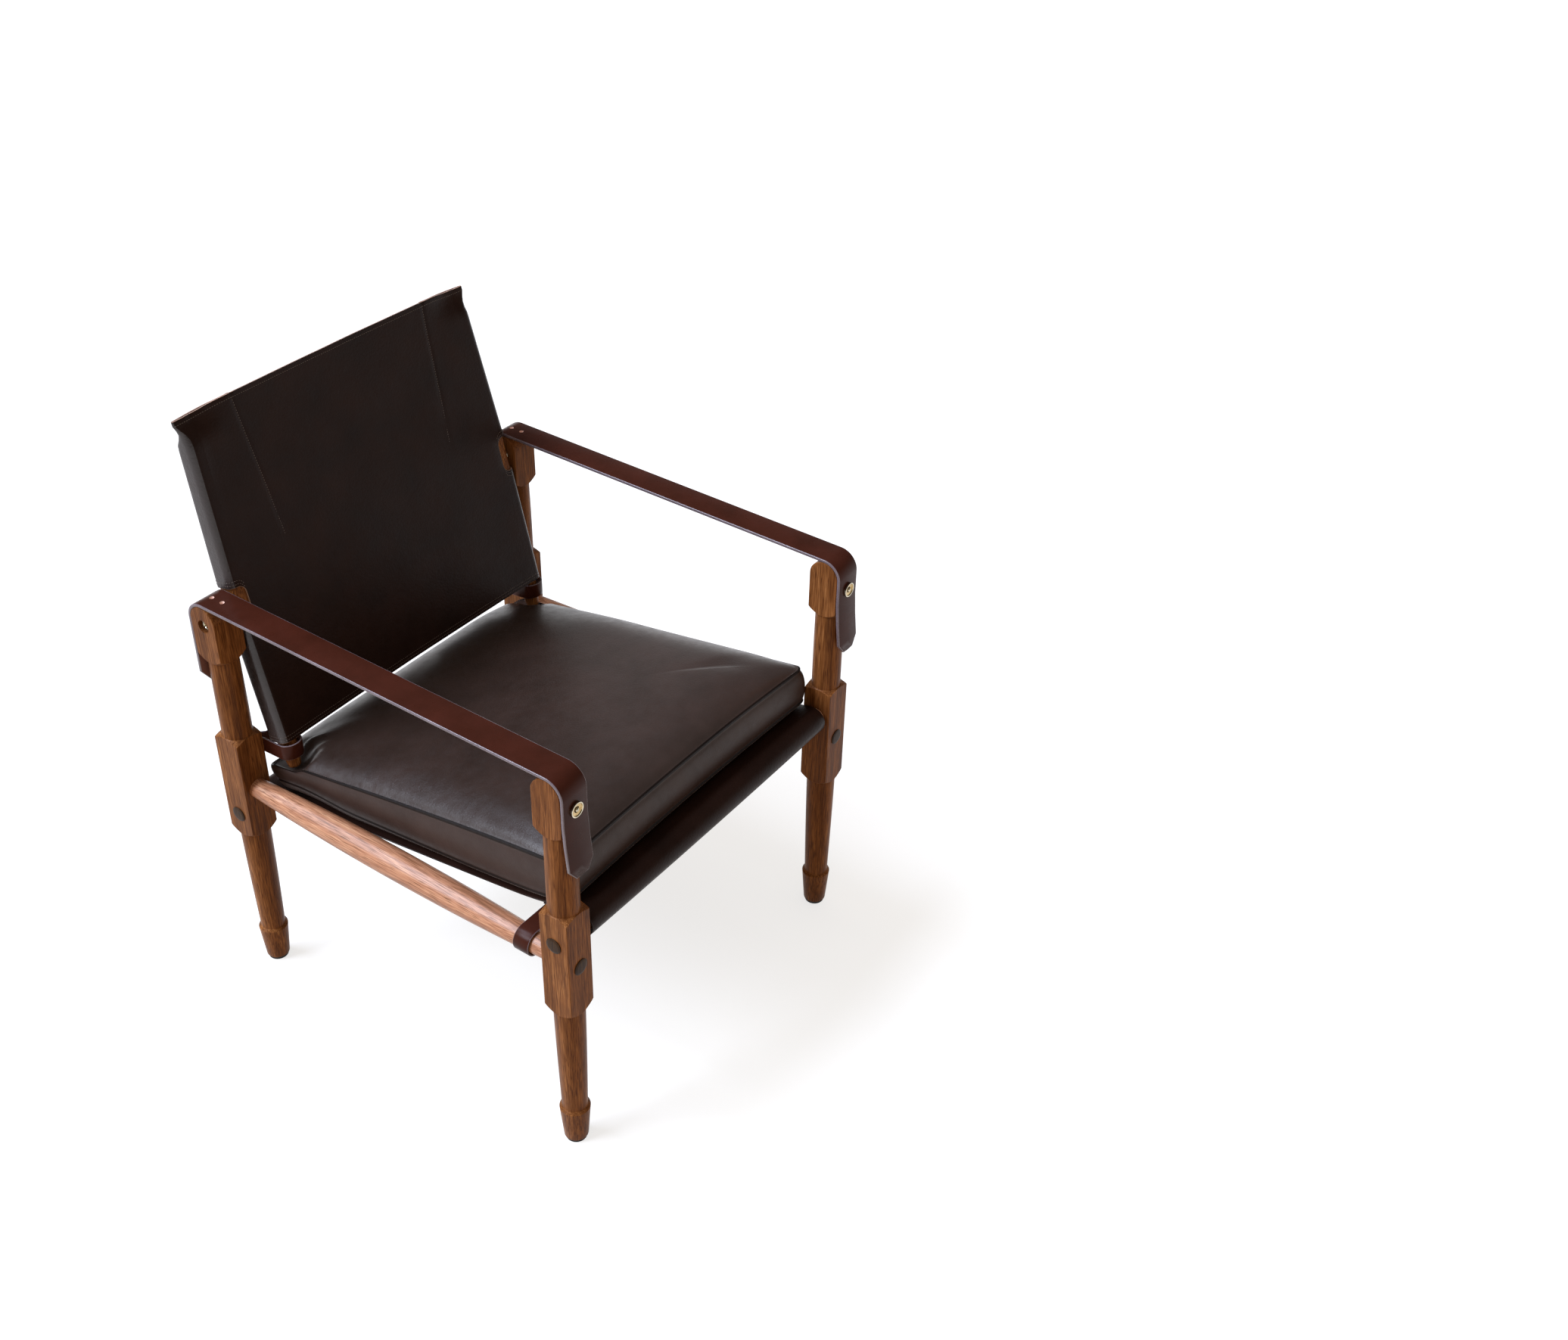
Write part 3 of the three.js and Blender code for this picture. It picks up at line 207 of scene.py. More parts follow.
def piece(name, bm, body, slot, materials, nodes=(), crease=35):
    """Makes a solid in millimetres into a piece that rides on a body and stands for CAD nodes"""
    bmesh.ops.remove_doubles(bm, verts=bm.verts, dist=0.002)
    bmesh.ops.recalc_face_normals(bm, faces=bm.faces)
    bmesh.ops.transform(bm, matrix=BACK if body == "back" else CHAIR, verts=bm.verts)
    mesh = bpy.data.meshes.new(name)
    bm.to_mesh(mesh)
    bm.free()
    mesh.shade_smooth()
    mesh.set_sharp_from_angle(angle=math.radians(crease))
    for material in materials:
        mesh.materials.append(material)
    made = bpy.data.objects.new(name, mesh)
    bpy.context.collection.objects.link(made)
    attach(made, body)
    if nodes:
        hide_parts(*nodes)
    return made


def stand_in(craft, node, *rest, **settings):
    """A piece that stands for one CAD node, named for its craft and for the node"""
    return piece(f"{craft}_{node}", *rest, [node], **settings)


def corners():
    """The four legs, each as its end and side and the signs of its y and x"""
    for end, y_sign in ENDS.items():
        for side, x_sign in SIDES.items():
            yield end, side, y_sign, x_sign


def hide(grid, thickness, ease, keep=lambda i, j: True, ease_steps=3):
    """Leather on a grid of points of its middle surface: grain side 0, edges 1, flesh side 2"""
    rows, columns = len(grid), len(grid[0])
    bm = bmesh.new()
    made = {}

    def point(i, j):
        return grid[min(max(i, 0), rows - 1)][min(max(j, 0), columns - 1)]

    def held(i, j):
        return 0 <= i < rows - 1 and 0 <= j < columns - 1 and keep(i, j)

    def vert(side, i, j):
        if (side, i, j) not in made:
            along = point(i + 1, j) - point(i - 1, j)
            across = point(i, j + 1) - point(i, j - 1)
            lift = along.cross(across).normalized() * thickness / 2
            made[side, i, j] = bm.verts.new(point(i, j) + lift * side)
        return made[side, i, j]

    for i in range(rows - 1):
        for j in range(columns - 1):
            if not held(i, j):
                continue
            ring = [(i, j), (i + 1, j), (i + 1, j + 1), (i, j + 1)]
            bm.faces.new([vert(1, *spot) for spot in ring]).material_index = 0
            bm.faces.new([vert(-1, *spot) for spot in reversed(ring)]).material_index = 2
            beside = [(i, j - 1), (i + 1, j), (i, j + 1), (i - 1, j)]
            for k, cell in enumerate(beside):
                if not held(*cell):
                    a, b = ring[k], ring[(k + 1) % 4]
                    wall = bm.faces.new([vert(1, *b), vert(1, *a), vert(-1, *a), vert(-1, *b)])
                    wall.material_index = 1
    rim = [edge for edge in bm.edges
           if len({face.material_index for face in edge.link_faces} - {1}) == 1
           and any(face.material_index == 1 for face in edge.link_faces)]
    bmesh.ops.bevel(bm, geom=rim, offset=ease, offset_type="OFFSET", segments=ease_steps,
                    profile=0.5, affect="EDGES", clamp_overlap=False, material=1)
    return bm


def strap(path, half_widths, across, thickness, ease):
    """A strap along a path, with its half width at each point, along a unit vector"""
    grid = []
    for point, half in zip(path, half_widths):
        grid.append([point - across * half, point, point + across * half])
    return hide(grid, thickness, ease)


STITCH_PITCH = 3.6
STITCH_LENGTH = 2.5
THREAD_RADIUS = 0.38


def sew(bm, line, closed=False):
    """Adds a row of stitches along (place, normal) spots"""
    if closed:
        line = line + line[:1]
    run = [0]
    for (here, _), (there, _) in zip(line, line[1:]):
        run.append(run[-1] + (there - here).length)
    count = max(1, round(run[-1] / STITCH_PITCH))
    k = 0
    for n in range(count):
        at = run[-1] * (n + 0.5) / count
        while k < len(run) - 2 and run[k + 1] < at:
            k += 1
        share = (at - run[k]) / max(run[k + 1] - run[k], 1e-6)
        (here, lift), (there, next_lift) = line[k], line[k + 1]
        along = (there - here).normalized()
        up = lift.lerp(next_lift, share).normalized()
        along = (along + up.cross(along) * chance.uniform(-0.06, 0.06)).normalized()
        stitch(bm, here.lerp(there, share), along, up)


def stitch(bm, middle, along, up):
    """One stitch: a short round run of thread whose ends dive into the leather"""
    side = along.cross(up)
    rings = []
    for reach, size, rise in ((-0.5, 0.45, -0.7), (-0.3, 1, 0.35), (0.3, 1, 0.35), (0.5, 0.45, -0.7)):
        centre = middle + along * STITCH_LENGTH * reach + up * THREAD_RADIUS * rise
        ring = []
        for k in range(6):
            angle = k * math.pi / 3
            spread = side * math.cos(angle) + up * math.sin(angle) * 0.8
            ring.append(bm.verts.new(centre + spread * THREAD_RADIUS * size))
        rings.append(ring)
    for low, high in zip(rings, rings[1:]):
        bridge(bm, low, high)
    bm.faces.new(rings[0])
    bm.faces.new(rings[-1])


# Nodes

def linear(colour):
    """The linear colour of an sRGB hex value"""
    shares = [int(colour[k:k + 2], 16) / 255 for k in (1, 3, 5)]
    return [*(s / 12.92 if s <= 0.04045 else ((s + 0.055) / 1.055) ** 2.4 for s in shares), 1]


def add(tree, kind, inputs, stops=None, **settings):
    """One node, with its settings, its colour stops, and the values or links of its sockets"""
    made = tree.nodes.new(kind)
    for name, value in settings.items():
        setattr(made, name, value)
    for socket, value in inputs.items():
        if isinstance(value, bpy.types.NodeSocket):
            tree.links.new(value, made.inputs[socket])
        else:
            made.inputs[socket].default_value = value
    if stops:
        ramp = made.color_ramp.elements
        while len(ramp) < len(stops):
            ramp.new(0.5)
        for element, (place, colour) in zip(ramp, stops):
            element.position = place
            element.color = linear(colour)
    return made


def finish(name, **values):
    """A new material, its node tree and its shader, with constants on the shader's own sockets"""
    made = bpy.data.materials.new(name)
    made.use_nodes = True
    shader = made.node_tree.nodes["Principled BSDF"]
    for key, value in values.items():
        shader.inputs[key.replace("_", " ")].default_value = value
    return made, made.node_tree, shader


def coat(made, colour, normal=None, gloss=None):
    """The same material, with these outputs linked to its shader"""
    tree = made.node_tree
    shader = tree.nodes["Principled BSDF"]
    for name, source in (("Base Color", colour), ("Normal", normal), ("Roughness", gloss)):
        if source is not None:
            tree.links.new(source, shader.inputs[name])
    return made


def pattern(tree, size, stretch=(1, 1, 1)):
    """Coordinates that repeat once in size millimetres, stretched along the axes"""
    where = add(tree, "ShaderNodeTexCoord", {}).outputs["Object"]
    scale = [1 / (size * MM * axis) for axis in stretch]
    return add(tree, "ShaderNodeMapping", {"Vector": where, "Scale": scale}).outputs["Vector"]


# Woods

def timber(name, along, tones, **values):
    """Open-pored wood with its grain along an axis: soft dark figure, fine fibres and pores"""
    made, tree, _ = finish(name, **values)
    figure_stretch = [1, 1, 1]
    figure_stretch[along] = 14
    pore_stretch = [1, 1, 1]
    pore_stretch[along] = 26
    figure = add(tree, "ShaderNodeTexNoise", {
        "Vector": pattern(tree, 17, figure_stretch), "Scale": 1, "Detail": 5, "Roughness": 0.62,
        "Distortion": 0.9})
    fibre = add(tree, "ShaderNodeTexNoise", {
        "Vector": pattern(tree, 1.6, pore_stretch), "Scale": 1, "Detail": 3, "Roughness": 0.55})
    blend = add(tree, "ShaderNodeMath", {0: figure.outputs["Fac"], 1: fibre.outputs["Fac"]},
                operation="MULTIPLY_ADD")
    blend.inputs[2].default_value = 0.24
    tone = add(tree, "ShaderNodeValToRGB", {"Fac": blend.outputs[0]},
               stops=[(0.36, tones[0]), (0.47, tones[1]), (0.56, tones[2]), (0.66, tones[3])])
    pore = add(tree, "ShaderNodeTexNoise", {
        "Vector": pattern(tree, 0.9, pore_stretch), "Scale": 1, "Detail": 1, "Roughness": 0.4})
    depth = add(tree, "ShaderNodeMapRange", {
        "Value": pore.outputs["Fac"], "From Min": 0.3, "From Max": 0.42, "To Min": 0, "To Max": 1})
    shade = add(tree, "ShaderNodeMix", {0: depth.outputs[0], 6: linear(tones[0]), 7: tone.outputs["Color"]},
                data_type="RGBA")
    bump = add(tree, "ShaderNodeBump", {
        "Height": depth.outputs[0], "Strength": 0.25, "Distance": 0.00012})
    return coat(made, shade.outputs[2], bump.outputs["Normal"])


def oiled_walnut(along):
    """Walnut turned and oiled: a mid brown with darker streaks and a low satin gloss"""
    return timber(f"oiled_walnut_{along}", along, ("#4c2912", "#704524", "#875731", "#a06f43"),
                  Roughness=0.38, Specular_IOR_Level=0.07)


def sheen_painted_walnut(along):
    """Rails of lighter, redder walnut, rubbed to a gloss by hands, their tones lifted further as a painted
    sheen
    """
    return timber(f"sheen_painted_walnut_{along}", along, ("#7a5035", "#a97558", "#c18e6e", "#d6ab8b"),
                  Roughness=0.36, Specular_IOR_Level=0.4)


def stained_walnut():
    """Caps turned from walnut and stained nearly black, with a dull shine"""
    return timber("stained_walnut", 2, ("#21150b", "#322114", "#3d2a18", "#4a3520"),
                  Roughness=0.42, Specular_IOR_Level=0.1)


def moulded_rubber():
    """Black moulded rubber of the glides, matt with a fine tooth"""
    made, tree, _ = finish("moulded_rubber", Roughness=0.8)
    tooth = add(tree, "ShaderNodeTexNoise", {"Vector": pattern(tree, 0.8), "Scale": 1, "Detail": 2})
    tone = add(tree, "ShaderNodeValToRGB", {"Fac": tooth.outputs["Fac"]},
               stops=[(0.35, "#12100e"), (0.65, "#1d1a17")])
    bump = add(tree, "ShaderNodeBump", {
        "Height": tooth.outputs["Fac"], "Strength": 0.3, "Distance": 0.0001})
    return coat(made, tone.outputs["Color"], bump.outputs["Normal"])


# Leathers

def grained(name, tones, grain_size, grain_height, **values):
    """Leather with a pebbled grain, a slight mottle of colour and an uneven gloss"""
    made, tree, shader = finish(name, **values)
    mottle = add(tree, "ShaderNodeTexNoise", {
        "Vector": pattern(tree, 60), "Scale": 1, "Detail": 4, "Roughness": 0.6})
    tone = add(tree, "ShaderNodeValToRGB", {"Fac": mottle.outputs["Fac"]},
               stops=[(0.3, tones[0]), (0.7, tones[1])])
    pebbles = add(tree, "ShaderNodeTexVoronoi", {
        "Vector": pattern(tree, grain_size), "Scale": 1})
    creases = add(tree, "ShaderNodeTexNoise", {
        "Vector": pattern(tree, grain_size * 5), "Scale": 1, "Detail": 5, "Roughness": 0.65})
    relief = add(tree, "ShaderNodeMath", {
        0: pebbles.outputs["Distance"], 1: -0.5, 2: creases.outputs["Fac"]}, operation="MULTIPLY_ADD")
    bump = add(tree, "ShaderNodeBump", {
        "Height": relief.outputs[0], "Strength": 0.5, "Distance": grain_height * MM})
    roughness = shader.inputs["Roughness"].default_value
    gloss = add(tree, "ShaderNodeMapRange", {
        "Value": creases.outputs["Fac"], "From Min": 0.3, "From Max": 0.7,
        "To Min": roughness - 0.05, "To Max": roughness + 0.07})
    return coat(made, tone.outputs["Color"], bump.outputs["Normal"], gloss.outputs[0])


def upholstery_hide():
    """Dark brown upholstery hide with a soft pebble grain, drawn a little coarser to show"""
    return grained("upholstery_hide", ("#1e120e", "#281813"), 3, 0.6,
                   Roughness=0.36, Specular_IOR_Level=0.09)


def sheen_painted_hide():
    """The hide where it is pulled tight round the posts, its grain open and polished by the pull, painted
    lighter and greyer than the panel as a painted sheen
    """
    return grained("sheen_painted_hide", ("#241b1a", "#2f2423"), 3, 0.9,
                   Roughness=0.4, Specular_IOR_Level=0.6)


def boxing_hide():
    """The hide on the sides of the cushion, which is less polished than the top"""
    return grained("boxing_hide", ("#32241f", "#3d2e29"), 2.6, 0.3,
                   Roughness=0.4, Specular_IOR_Level=0.22)


def cushion_hide():
    """The same hide on the cushion, where use has made it a shade lighter"""
    return grained("cushion_hide", ("#2f231e", "#392b26"), 2.6, 0.3,
                   Roughness=0.33, Specular_IOR_Level=0.6)


def bridle_leather():
    """Oxblood-brown bridle leather, waxed smooth, with a clear satin shine"""
    return grained("bridle_leather", ("#35180f", "#421f16"), 3.5, 0.03,
                   Roughness=0.3, Specular_IOR_Level=0.09)


def edge_painted_reflection():
    """Strap edges rubbed and waxed until they shine, in a cool greyish brown that is a painted reflection of
    the cool window light
    """
    return grained("edge_painted_reflection", ("#5a4e55", "#786d76"), 2.5, 0.03,
                   Roughness=0.26, Specular_IOR_Level=0.5)


def painted_seam_shade():
    """The hide drawn into the seams of the cushion, painted darker as the shade in the fold"""
    return grained("painted_seam_shade", ("#120b08", "#1b120e"), 2, 0.1, Roughness=0.5, Specular_IOR_Level=0.15)


def dyed_edge():
    """Edges of the seat's hide, dyed dark and rubbed"""
    return grained("dyed_edge", ("#1d1512", "#2b211d"), 2, 0.05, Roughness=0.35, Specular_IOR_Level=0.3)


def punched_core():
    """The pale pinkish core of the strap leather, laid bare inside the punched holes"""
    return grained("punched_core", ("#cfa598", "#ecd0c4"), 1.2, 0.1, Roughness=0.8)


def cut_edge():
    """Raw cut edges of the hide, a pale pinkish tan with loose fibres"""
    return grained("cut_edge", ("#8d7266", "#a98d80"), 1.2, 0.2, Roughness=0.85)


def flesh_side():
    """The unfinished flesh side of the leather, a dull pinkish brown"""
    return grained("flesh_side", ("#6b4740", "#82584e"), 1.5, 0.15, Roughness=0.85)


def thread_painted_highlight():
    """Dark waxed nylon thread with a fine twist, its brown lifted to a lighter grey-brown as a painted
    highlight
    """
    made, tree, _ = finish("thread_painted_highlight", Roughness=0.45)
    twist = add(tree, "ShaderNodeTexNoise", {"Vector": pattern(tree, 0.7), "Scale": 1, "Detail": 1})
    tone = add(tree, "ShaderNodeValToRGB", {"Fac": twist.outputs["Fac"]},
               stops=[(0.35, "#4a3e38"), (0.65, "#6e615a")])
    return coat(made, tone.outputs["Color"])


# Metals

def metal(name, tones, roughness):
    """Metal with hair scratches and faint changes of colour and gloss"""
    made, tree, _ = finish(name, Metallic=1)
    hair = add(tree, "ShaderNodeTexNoise", {
        "Vector": pattern(tree, 0.35), "Scale": 1, "Detail": 3, "Roughness": 0.6})
    haze = add(tree, "ShaderNodeTexNoise", {"Vector": pattern(tree, 7), "Scale": 1, "Detail": 3})
    tone = add(tree, "ShaderNodeValToRGB", {"Fac": haze.outputs["Fac"]},
               stops=[(0.35, tones[0]), (0.65, tones[1])])
    gloss = add(tree, "ShaderNodeMapRange", {
        "Value": hair.outputs["Fac"], "From Min": 0.3, "From Max": 0.7,
        "To Min": roughness - 0.06, "To Max": roughness + 0.08})
    bump = add(tree, "ShaderNodeBump", {
        "Height": hair.outputs["Fac"], "Strength": 0.08, "Distance": 0.00003})
    return coat(made, tone.outputs["Color"], bump.outputs["Normal"], gloss.outputs[0])


def nickelled_steel():
    """Turned steel with a polished nickel plate, cool white with fine hair lines"""
    return metal("nickelled_steel", ("#b9b097", "#d6ccb4"), 0.2)


def polished_brass():
    """Brass polished and a little tarnished, a warm pale gold"""
    return metal("polished_brass", ("#a68a5a", "#cbb282"), 0.24)


walnut_z = oiled_walnut(2)
# Rail walnut, its tones lifted with a painted sheen
rail_walnut_x = sheen_painted_walnut(0)
rail_walnut_y = sheen_painted_walnut(1)
cap_walnut = stained_walnut()
rubber = moulded_rubber()
hide_dark = upholstery_hide()
hide_with_painted_sheen = sheen_painted_hide()
hide_boxing = boxing_hide()
hide_cushion = cushion_hide()
bridle = bridle_leather()
strap_edge_reflection = edge_painted_reflection()
seam_shade = painted_seam_shade()
seat_edge = dyed_edge()
core = punched_core()
raw_edge = cut_edge()
flesh = flesh_side()
thread = thread_painted_highlight()
steel = nickelled_steel()
brass = polished_brass()
# Strap leather, its edges in a painted reflection
STRAP_FINISH = (bridle, strap_edge_reflection, flesh, core)
SEAT_FINISH = (hide_dark, seat_edge, hide_dark)
BACK_FINISH = (hide_dark, raw_edge, hide_dark, hide_with_painted_sheen)


# Legs and posts: square stock that is turned between its blocks

def section(radius, half_x, half_y, corner):
    """One level of the stock: a rectangle with eased corners, cut back to a circle"""
    flat, arc = 3, 6
    if radius <= min(half_x, half_y):
        angles = steps(0, math.pi / 2, 2 * flat + arc)
        quarter = [(radius * math.cos(a), radius * math.sin(a)) for a in angles]
    else:
        ease = min(corner, half_x, half_y)
        if radius < math.hypot(half_x - ease, half_y - ease) + ease:
            start = math.acos(min(1, half_x / radius))
            end = math.pi / 2 - math.acos(min(1, half_y / radius))
            centre_x, centre_y, sweep = 0, 0, radius
        else:
            start, end = 0, math.pi / 2
            centre_x, centre_y, sweep = half_x - ease, half_y - ease, ease
        angles = steps(start, end, arc)
        turn = [(centre_x + sweep * math.cos(a), centre_y + sweep * math.sin(a)) for a in angles]
        quarter = [(half_x, y) for y in steps(0, turn[0][1], flat)[:-1]] + turn
        quarter += [(x, half_y) for x in steps(turn[-1][0], 0, flat)[1:]]
    mirrored = list(reversed(quarter))
    return (
        quarter[:-1]
        + [(-x, y) for x, y in mirrored][:-1]
        + [(-x, -y) for x, y in quarter][:-1]
        + [(x, -y) for x, y in mirrored][:-1]
    )


def milled(levels, corner):
    """A solid from its levels: height, turned radius, half width and half depth"""
    bm = bmesh.new()
    rings = []
    for height, radius, half_x, half_y in levels:
        rings.append([bm.verts.new((x, y, height)) for x, y in section(radius, half_x, half_y, corner)])
    for low, high in zip(rings, rings[1:]):
        bridge(bm, low, high)
    bm.faces.new(rings[0])
    bm.faces.new(rings[-1])
    return bm


def shoulder(height, neck, slope, half_x, half_y):
    """The cone from a turned neck out past the corners of the stock, as (height, radius) pairs"""
    widest = math.hypot(half_x, half_y)
    narrow = min(half_x, half_y)
    radii = [neck] + [lerp(narrow, widest, share * share) for share in steps(0, 1, 9)]
    return [(height + (radius - neck) * slope, radius) for radius in radii]


BLOCK_FOOT = 251.1
BLOCK_HEAD = 424.8
TOP_BLOCK_FOOT = 550.7
ANKLE = 17.4
CALF = 21
NECK_FOOT = 20.8
NECK_HEAD = 20.2
BOLT_SINK = 9.5


def bellied(foot, head, start, end, belly, count):
    """A turned run between two heights and radii, a little fuller in its middle"""
    shares = zip(steps(0, 1, count), steps(foot, head, count))
    return [(z, lerp(start, end, s) + belly * math.sin(math.pi * s)) for s, z in shares]


def leg_levels():
    """The levels of a leg from its foot up: cuff, lower leg, block, neck, top block and round head"""
    stock = (HALF_STOCK, HALF_STOCK)
    lines = eased([(GLIDE_TOP + 0.3, 13.6), (GLIDE_TOP + 0.3, 16.6), (30, 18.6), (CUFF_TOP, 21.1)], 3)
    lines = [(z, r) for z, r in lines] + [(CUFF_TOP + 4, ANKLE)]
    lines += bellied(CUFF_TOP + 4, BLOCK_FOOT, ANKLE, CALF, 0.35, 12)
    lines += shoulder(BLOCK_FOOT, CALF, 1, *stock)
    lines += list(reversed(shoulder(BLOCK_HEAD, NECK_FOOT, -0.55, *stock)))
    lines += bellied(BLOCK_HEAD, TOP_BLOCK_FOOT, NECK_FOOT, NECK_HEAD, 0.25, 6)
    lines += shoulder(TOP_BLOCK_FOOT, NECK_HEAD, 1, *stock)
    levels = [(height, radius, *stock) for height, radius in lines]
    for angle in steps(0, math.pi / 2, 14):
        half_y = HALF_STOCK * math.cos(angle)
        levels.append((ARCH_CENTRE + HALF_STOCK * math.sin(angle), 2 * HALF_STOCK, HALF_STOCK, half_y))
    return levels


def make_legs():
    for end, side, y_sign, x_sign in corners():
        bm = milled(leg_levels(), 0.9)
        if end == "rear":
            out = X * x_sign
            seat = Vector((0, 0, PIVOT_HEIGHT)) + out * (HALF_STOCK - BOLT_SINK + 6)
            bm = cut(bm, [drill(9.6, seat, out, 6, 40)])
        move(bm, (x_sign * HALF_WIDE, y_sign * HALF_DEEP, 0))
        stand_in("turned", f"leg_{end}_{side}", bm, "frame", "walnut", [walnut_z])


def make_glides():
    rim = eased([(0, 0), (14.6, 0), (14.6, GLIDE_TOP), (3, GLIDE_TOP), (3, 16), (0, 16)], 1.2)
    for end, side, y_sign, x_sign in corners():
        bm = aim(turned(rim), (x_sign * HALF_WIDE, y_sign * HALF_DEEP, 0), Z)
        stand_in("moulded", f"foot_glide_{end}_{side}", bm, "frame", "glide_rubber", [rubber])


# Rails

CROSS_RAILS = {"front": FRONT_RAIL, "rear": REAR_RAIL}
RAIL_END = 14
SIDE_SWELL = 6.8
CROSS_SWELL = 4.6
TENON_LENGTH = 40
TENON_TIP = 10


def rail(spacing, swell):
    """A rail with a long swell and short tapered tenons"""
    reach = spacing - HALF_STOCK
    tip = reach + TENON_LENGTH
    body = [(RAIL_END + swell * (1 - s * s), s * reach) for s in steps(-1, 1, 36)]
    return turned([(0, -tip), (TENON_TIP, -tip), *body, (TENON_TIP, tip), (0, tip)], 56)


def make_rails():
    for side, x_sign in SIDES.items():
        bm = aim(rail(HALF_DEEP, SIDE_SWELL), (x_sign * HALF_WIDE, 0, SIDE_RAIL), Y)
        stand_in("turned", f"rail_{side}", bm, "frame", "rail_wood", [rail_walnut_y])
    for end, y_sign in ENDS.items():
        bm = aim(rail(HALF_WIDE, CROSS_SWELL), (0, y_sign * HALF_DEEP, CROSS_RAILS[end]), X)
        stand_in("turned", f"rail_{end}", bm, "frame", "rail_wood", [rail_walnut_x])


def make_caps():
    dome = eased([(0, -3.2), (9.1, -3.2), (9.1, 0.3), (11.6, 0.3), (11.6, 1.1), (8.5, 1.9), (0, 2.1)], 0.8)
    for end, side, y_sign, x_sign in corners():
        axis = Vector((x_sign * HALF_WIDE, y_sign * HALF_DEEP, 0))
        for way, out, height in (("cross", X * x_sign, CROSS_RAILS[end]), ("side", Y * y_sign, SIDE_RAIL)):
            bm = aim(turned(dome, 40), axis + out * HALF_STOCK + Z * height, out)
            stand_in("domed", f"mortise_cap_{way}_{end}_{side}", bm, "frame", "cap_wood", [cap_walnut])


# Arms

ARCH_LINE = HALF_STOCK + 0.3 + STRAP_LEATHER / 2
TAIL_PLANE = HALF_DEEP + ARCH_LINE
ARM_HALF = 22
HOLE_PITCH = 19.5


def arm_path():
    """The middle line of an arm strap, from the front tail over to the rear tail, and its half widths"""
    path = [(-TAIL_PLANE - 7, 498, 11), (-TAIL_PLANE - 5.5, 513, ARM_HALF), (-TAIL_PLANE - 2, 548, ARM_HALF),
            (-TAIL_PLANE, 580, ARM_HALF)]
    arc = steps(0, math.pi / 2, 12)
    for sign, angles in ((-1, arc), (1, reversed(arc))):
        for angle in angles:
            y = sign * (HALF_DEEP + ARCH_LINE * math.cos(angle))
            path.append((y, ARCH_CENTRE + ARCH_LINE * math.sin(angle), ARM_HALF))
    path += [(TAIL_PLANE, 528, ARM_HALF), (TAIL_PLANE, 501, 3.5)]
    return [Vector((0, y, z)) for y, z, _ in path], [half for _, _, half in path]


def punch_spot(run):
    """A place on the rear end of an arm strap, and the way through it, by the run up from the stud"""
    straight = ARCH_CENTRE - STUD_HEIGHT
    if run < straight:
        return Vector((0, TAIL_PLANE, STUD_HEIGHT + run)), Y.copy()
    angle = min((run - straight) / ARCH_LINE, math.pi / 2)
    way = Vector((0, math.cos(angle), math.sin(angle)))
    spot = Vector((0, HALF_DEEP, ARCH_CENTRE)) + way * ARCH_LINE
    spot.y -= max(0, run - straight - ARCH_LINE * math.pi / 2)
    return spot, way


def make_arm_straps():
    for side, x_sign in SIDES.items():
        bm = strap(*arm_path(), -X, STRAP_LEATHER, 1.1)
        tools = []
        for k in (-1, 1, 2, 3, 4):
            punch = turned([(0, -8), (1.5, -8), (1.5, -2), (3.3, 2.25), (3.3, 8), (0, 8)], 24, 3)
            tools.append(aim(punch, *punch_spot(k * HOLE_PITCH)))
        bm = move(cut(bm, tools), (x_sign * HALF_WIDE, 0, 0))
        stand_in("bridle", f"arm_strap_{side}", bm, "frame", "strap_leather", STRAP_FINISH)


def make_arm_studs():
    seat = STRAP_LEATHER + 0.6
    shank = [(0, -19), (2, -19), (2, seat)]
    dished = [(2, 0), (10.5, 0), (10.5, 3.4), (8.9, 3.4), (8.3, 2), (4.2, 1.7), (4, 0.7), (2.9, 0.7),
              (2.8, 2.6), (1.6, 3.7), (0.9, 3.7), (0, 2.9)]
    dished = eased([(radius, seat + rise) for radius, rise in dished], 0.45)
    knob = [(2, 0), (9, 0), (9.6, 1), (10.5, 2.2), (10.2, 3.8), (7.5, 4.3), (0, 4.1)]
    knob = eased([(radius, seat + rise) for radius, rise in knob], 0.8)
    for side, x_sign in SIDES.items():
        for end, y_sign in ENDS.items():
            bm = turned([*shank, *(dished if end == "front" else knob)], 56)
            # The dished front stud is painted: its recessed ring in brass as a painted warm reflection, and
            # the groove round its centre ball in black rubber as painted shade
            for face in bm.faces:
                middle = face.calc_center_median()
                radius = math.hypot(middle.x, middle.y)
                if end == "front" and middle.z > seat + 0.6 and 2.85 < radius < 8.8:
                    face.material_index = 1 if radius > 4.1 else 2
            aim(bm, (x_sign * HALF_WIDE, y_sign * (HALF_DEEP + HALF_STOCK), STUD_HEIGHT), Y * y_sign)
            steel_and_painted_light = [steel, brass, rubber]
            stand_in("turned", f"arm_stud_{end}_{side}", bm, "frame", "nickelled_steel", steel_and_painted_light)


# Seat sling, along the rake: b runs from the front rail to the rear rail, and n is square to it

RAKE_RISE = FRONT_RAIL - REAR_RAIL
RAKE = math.atan2(RAKE_RISE, 2 * HALF_DEEP)
RAKE_LENGTH = math.hypot(RAKE_RISE, 2 * HALF_DEEP)
RAKE_BACK = Vector((0, math.cos(RAKE), -math.sin(RAKE)))
RAKE_UP = Vector((0, math.sin(RAKE), math.cos(RAKE)))
SLEEVE_REACH = INNER_FACE - 6.75
SLEEVE_END = 17.9
SLEEVE_MIDDLE = 19.4
SAG = 12
SAG_CLEAR = 20


def on_rake(x, b, n):
    return Vector((x, -HALF_DEEP, FRONT_RAIL)) + RAKE_BACK * b + RAKE_UP * n


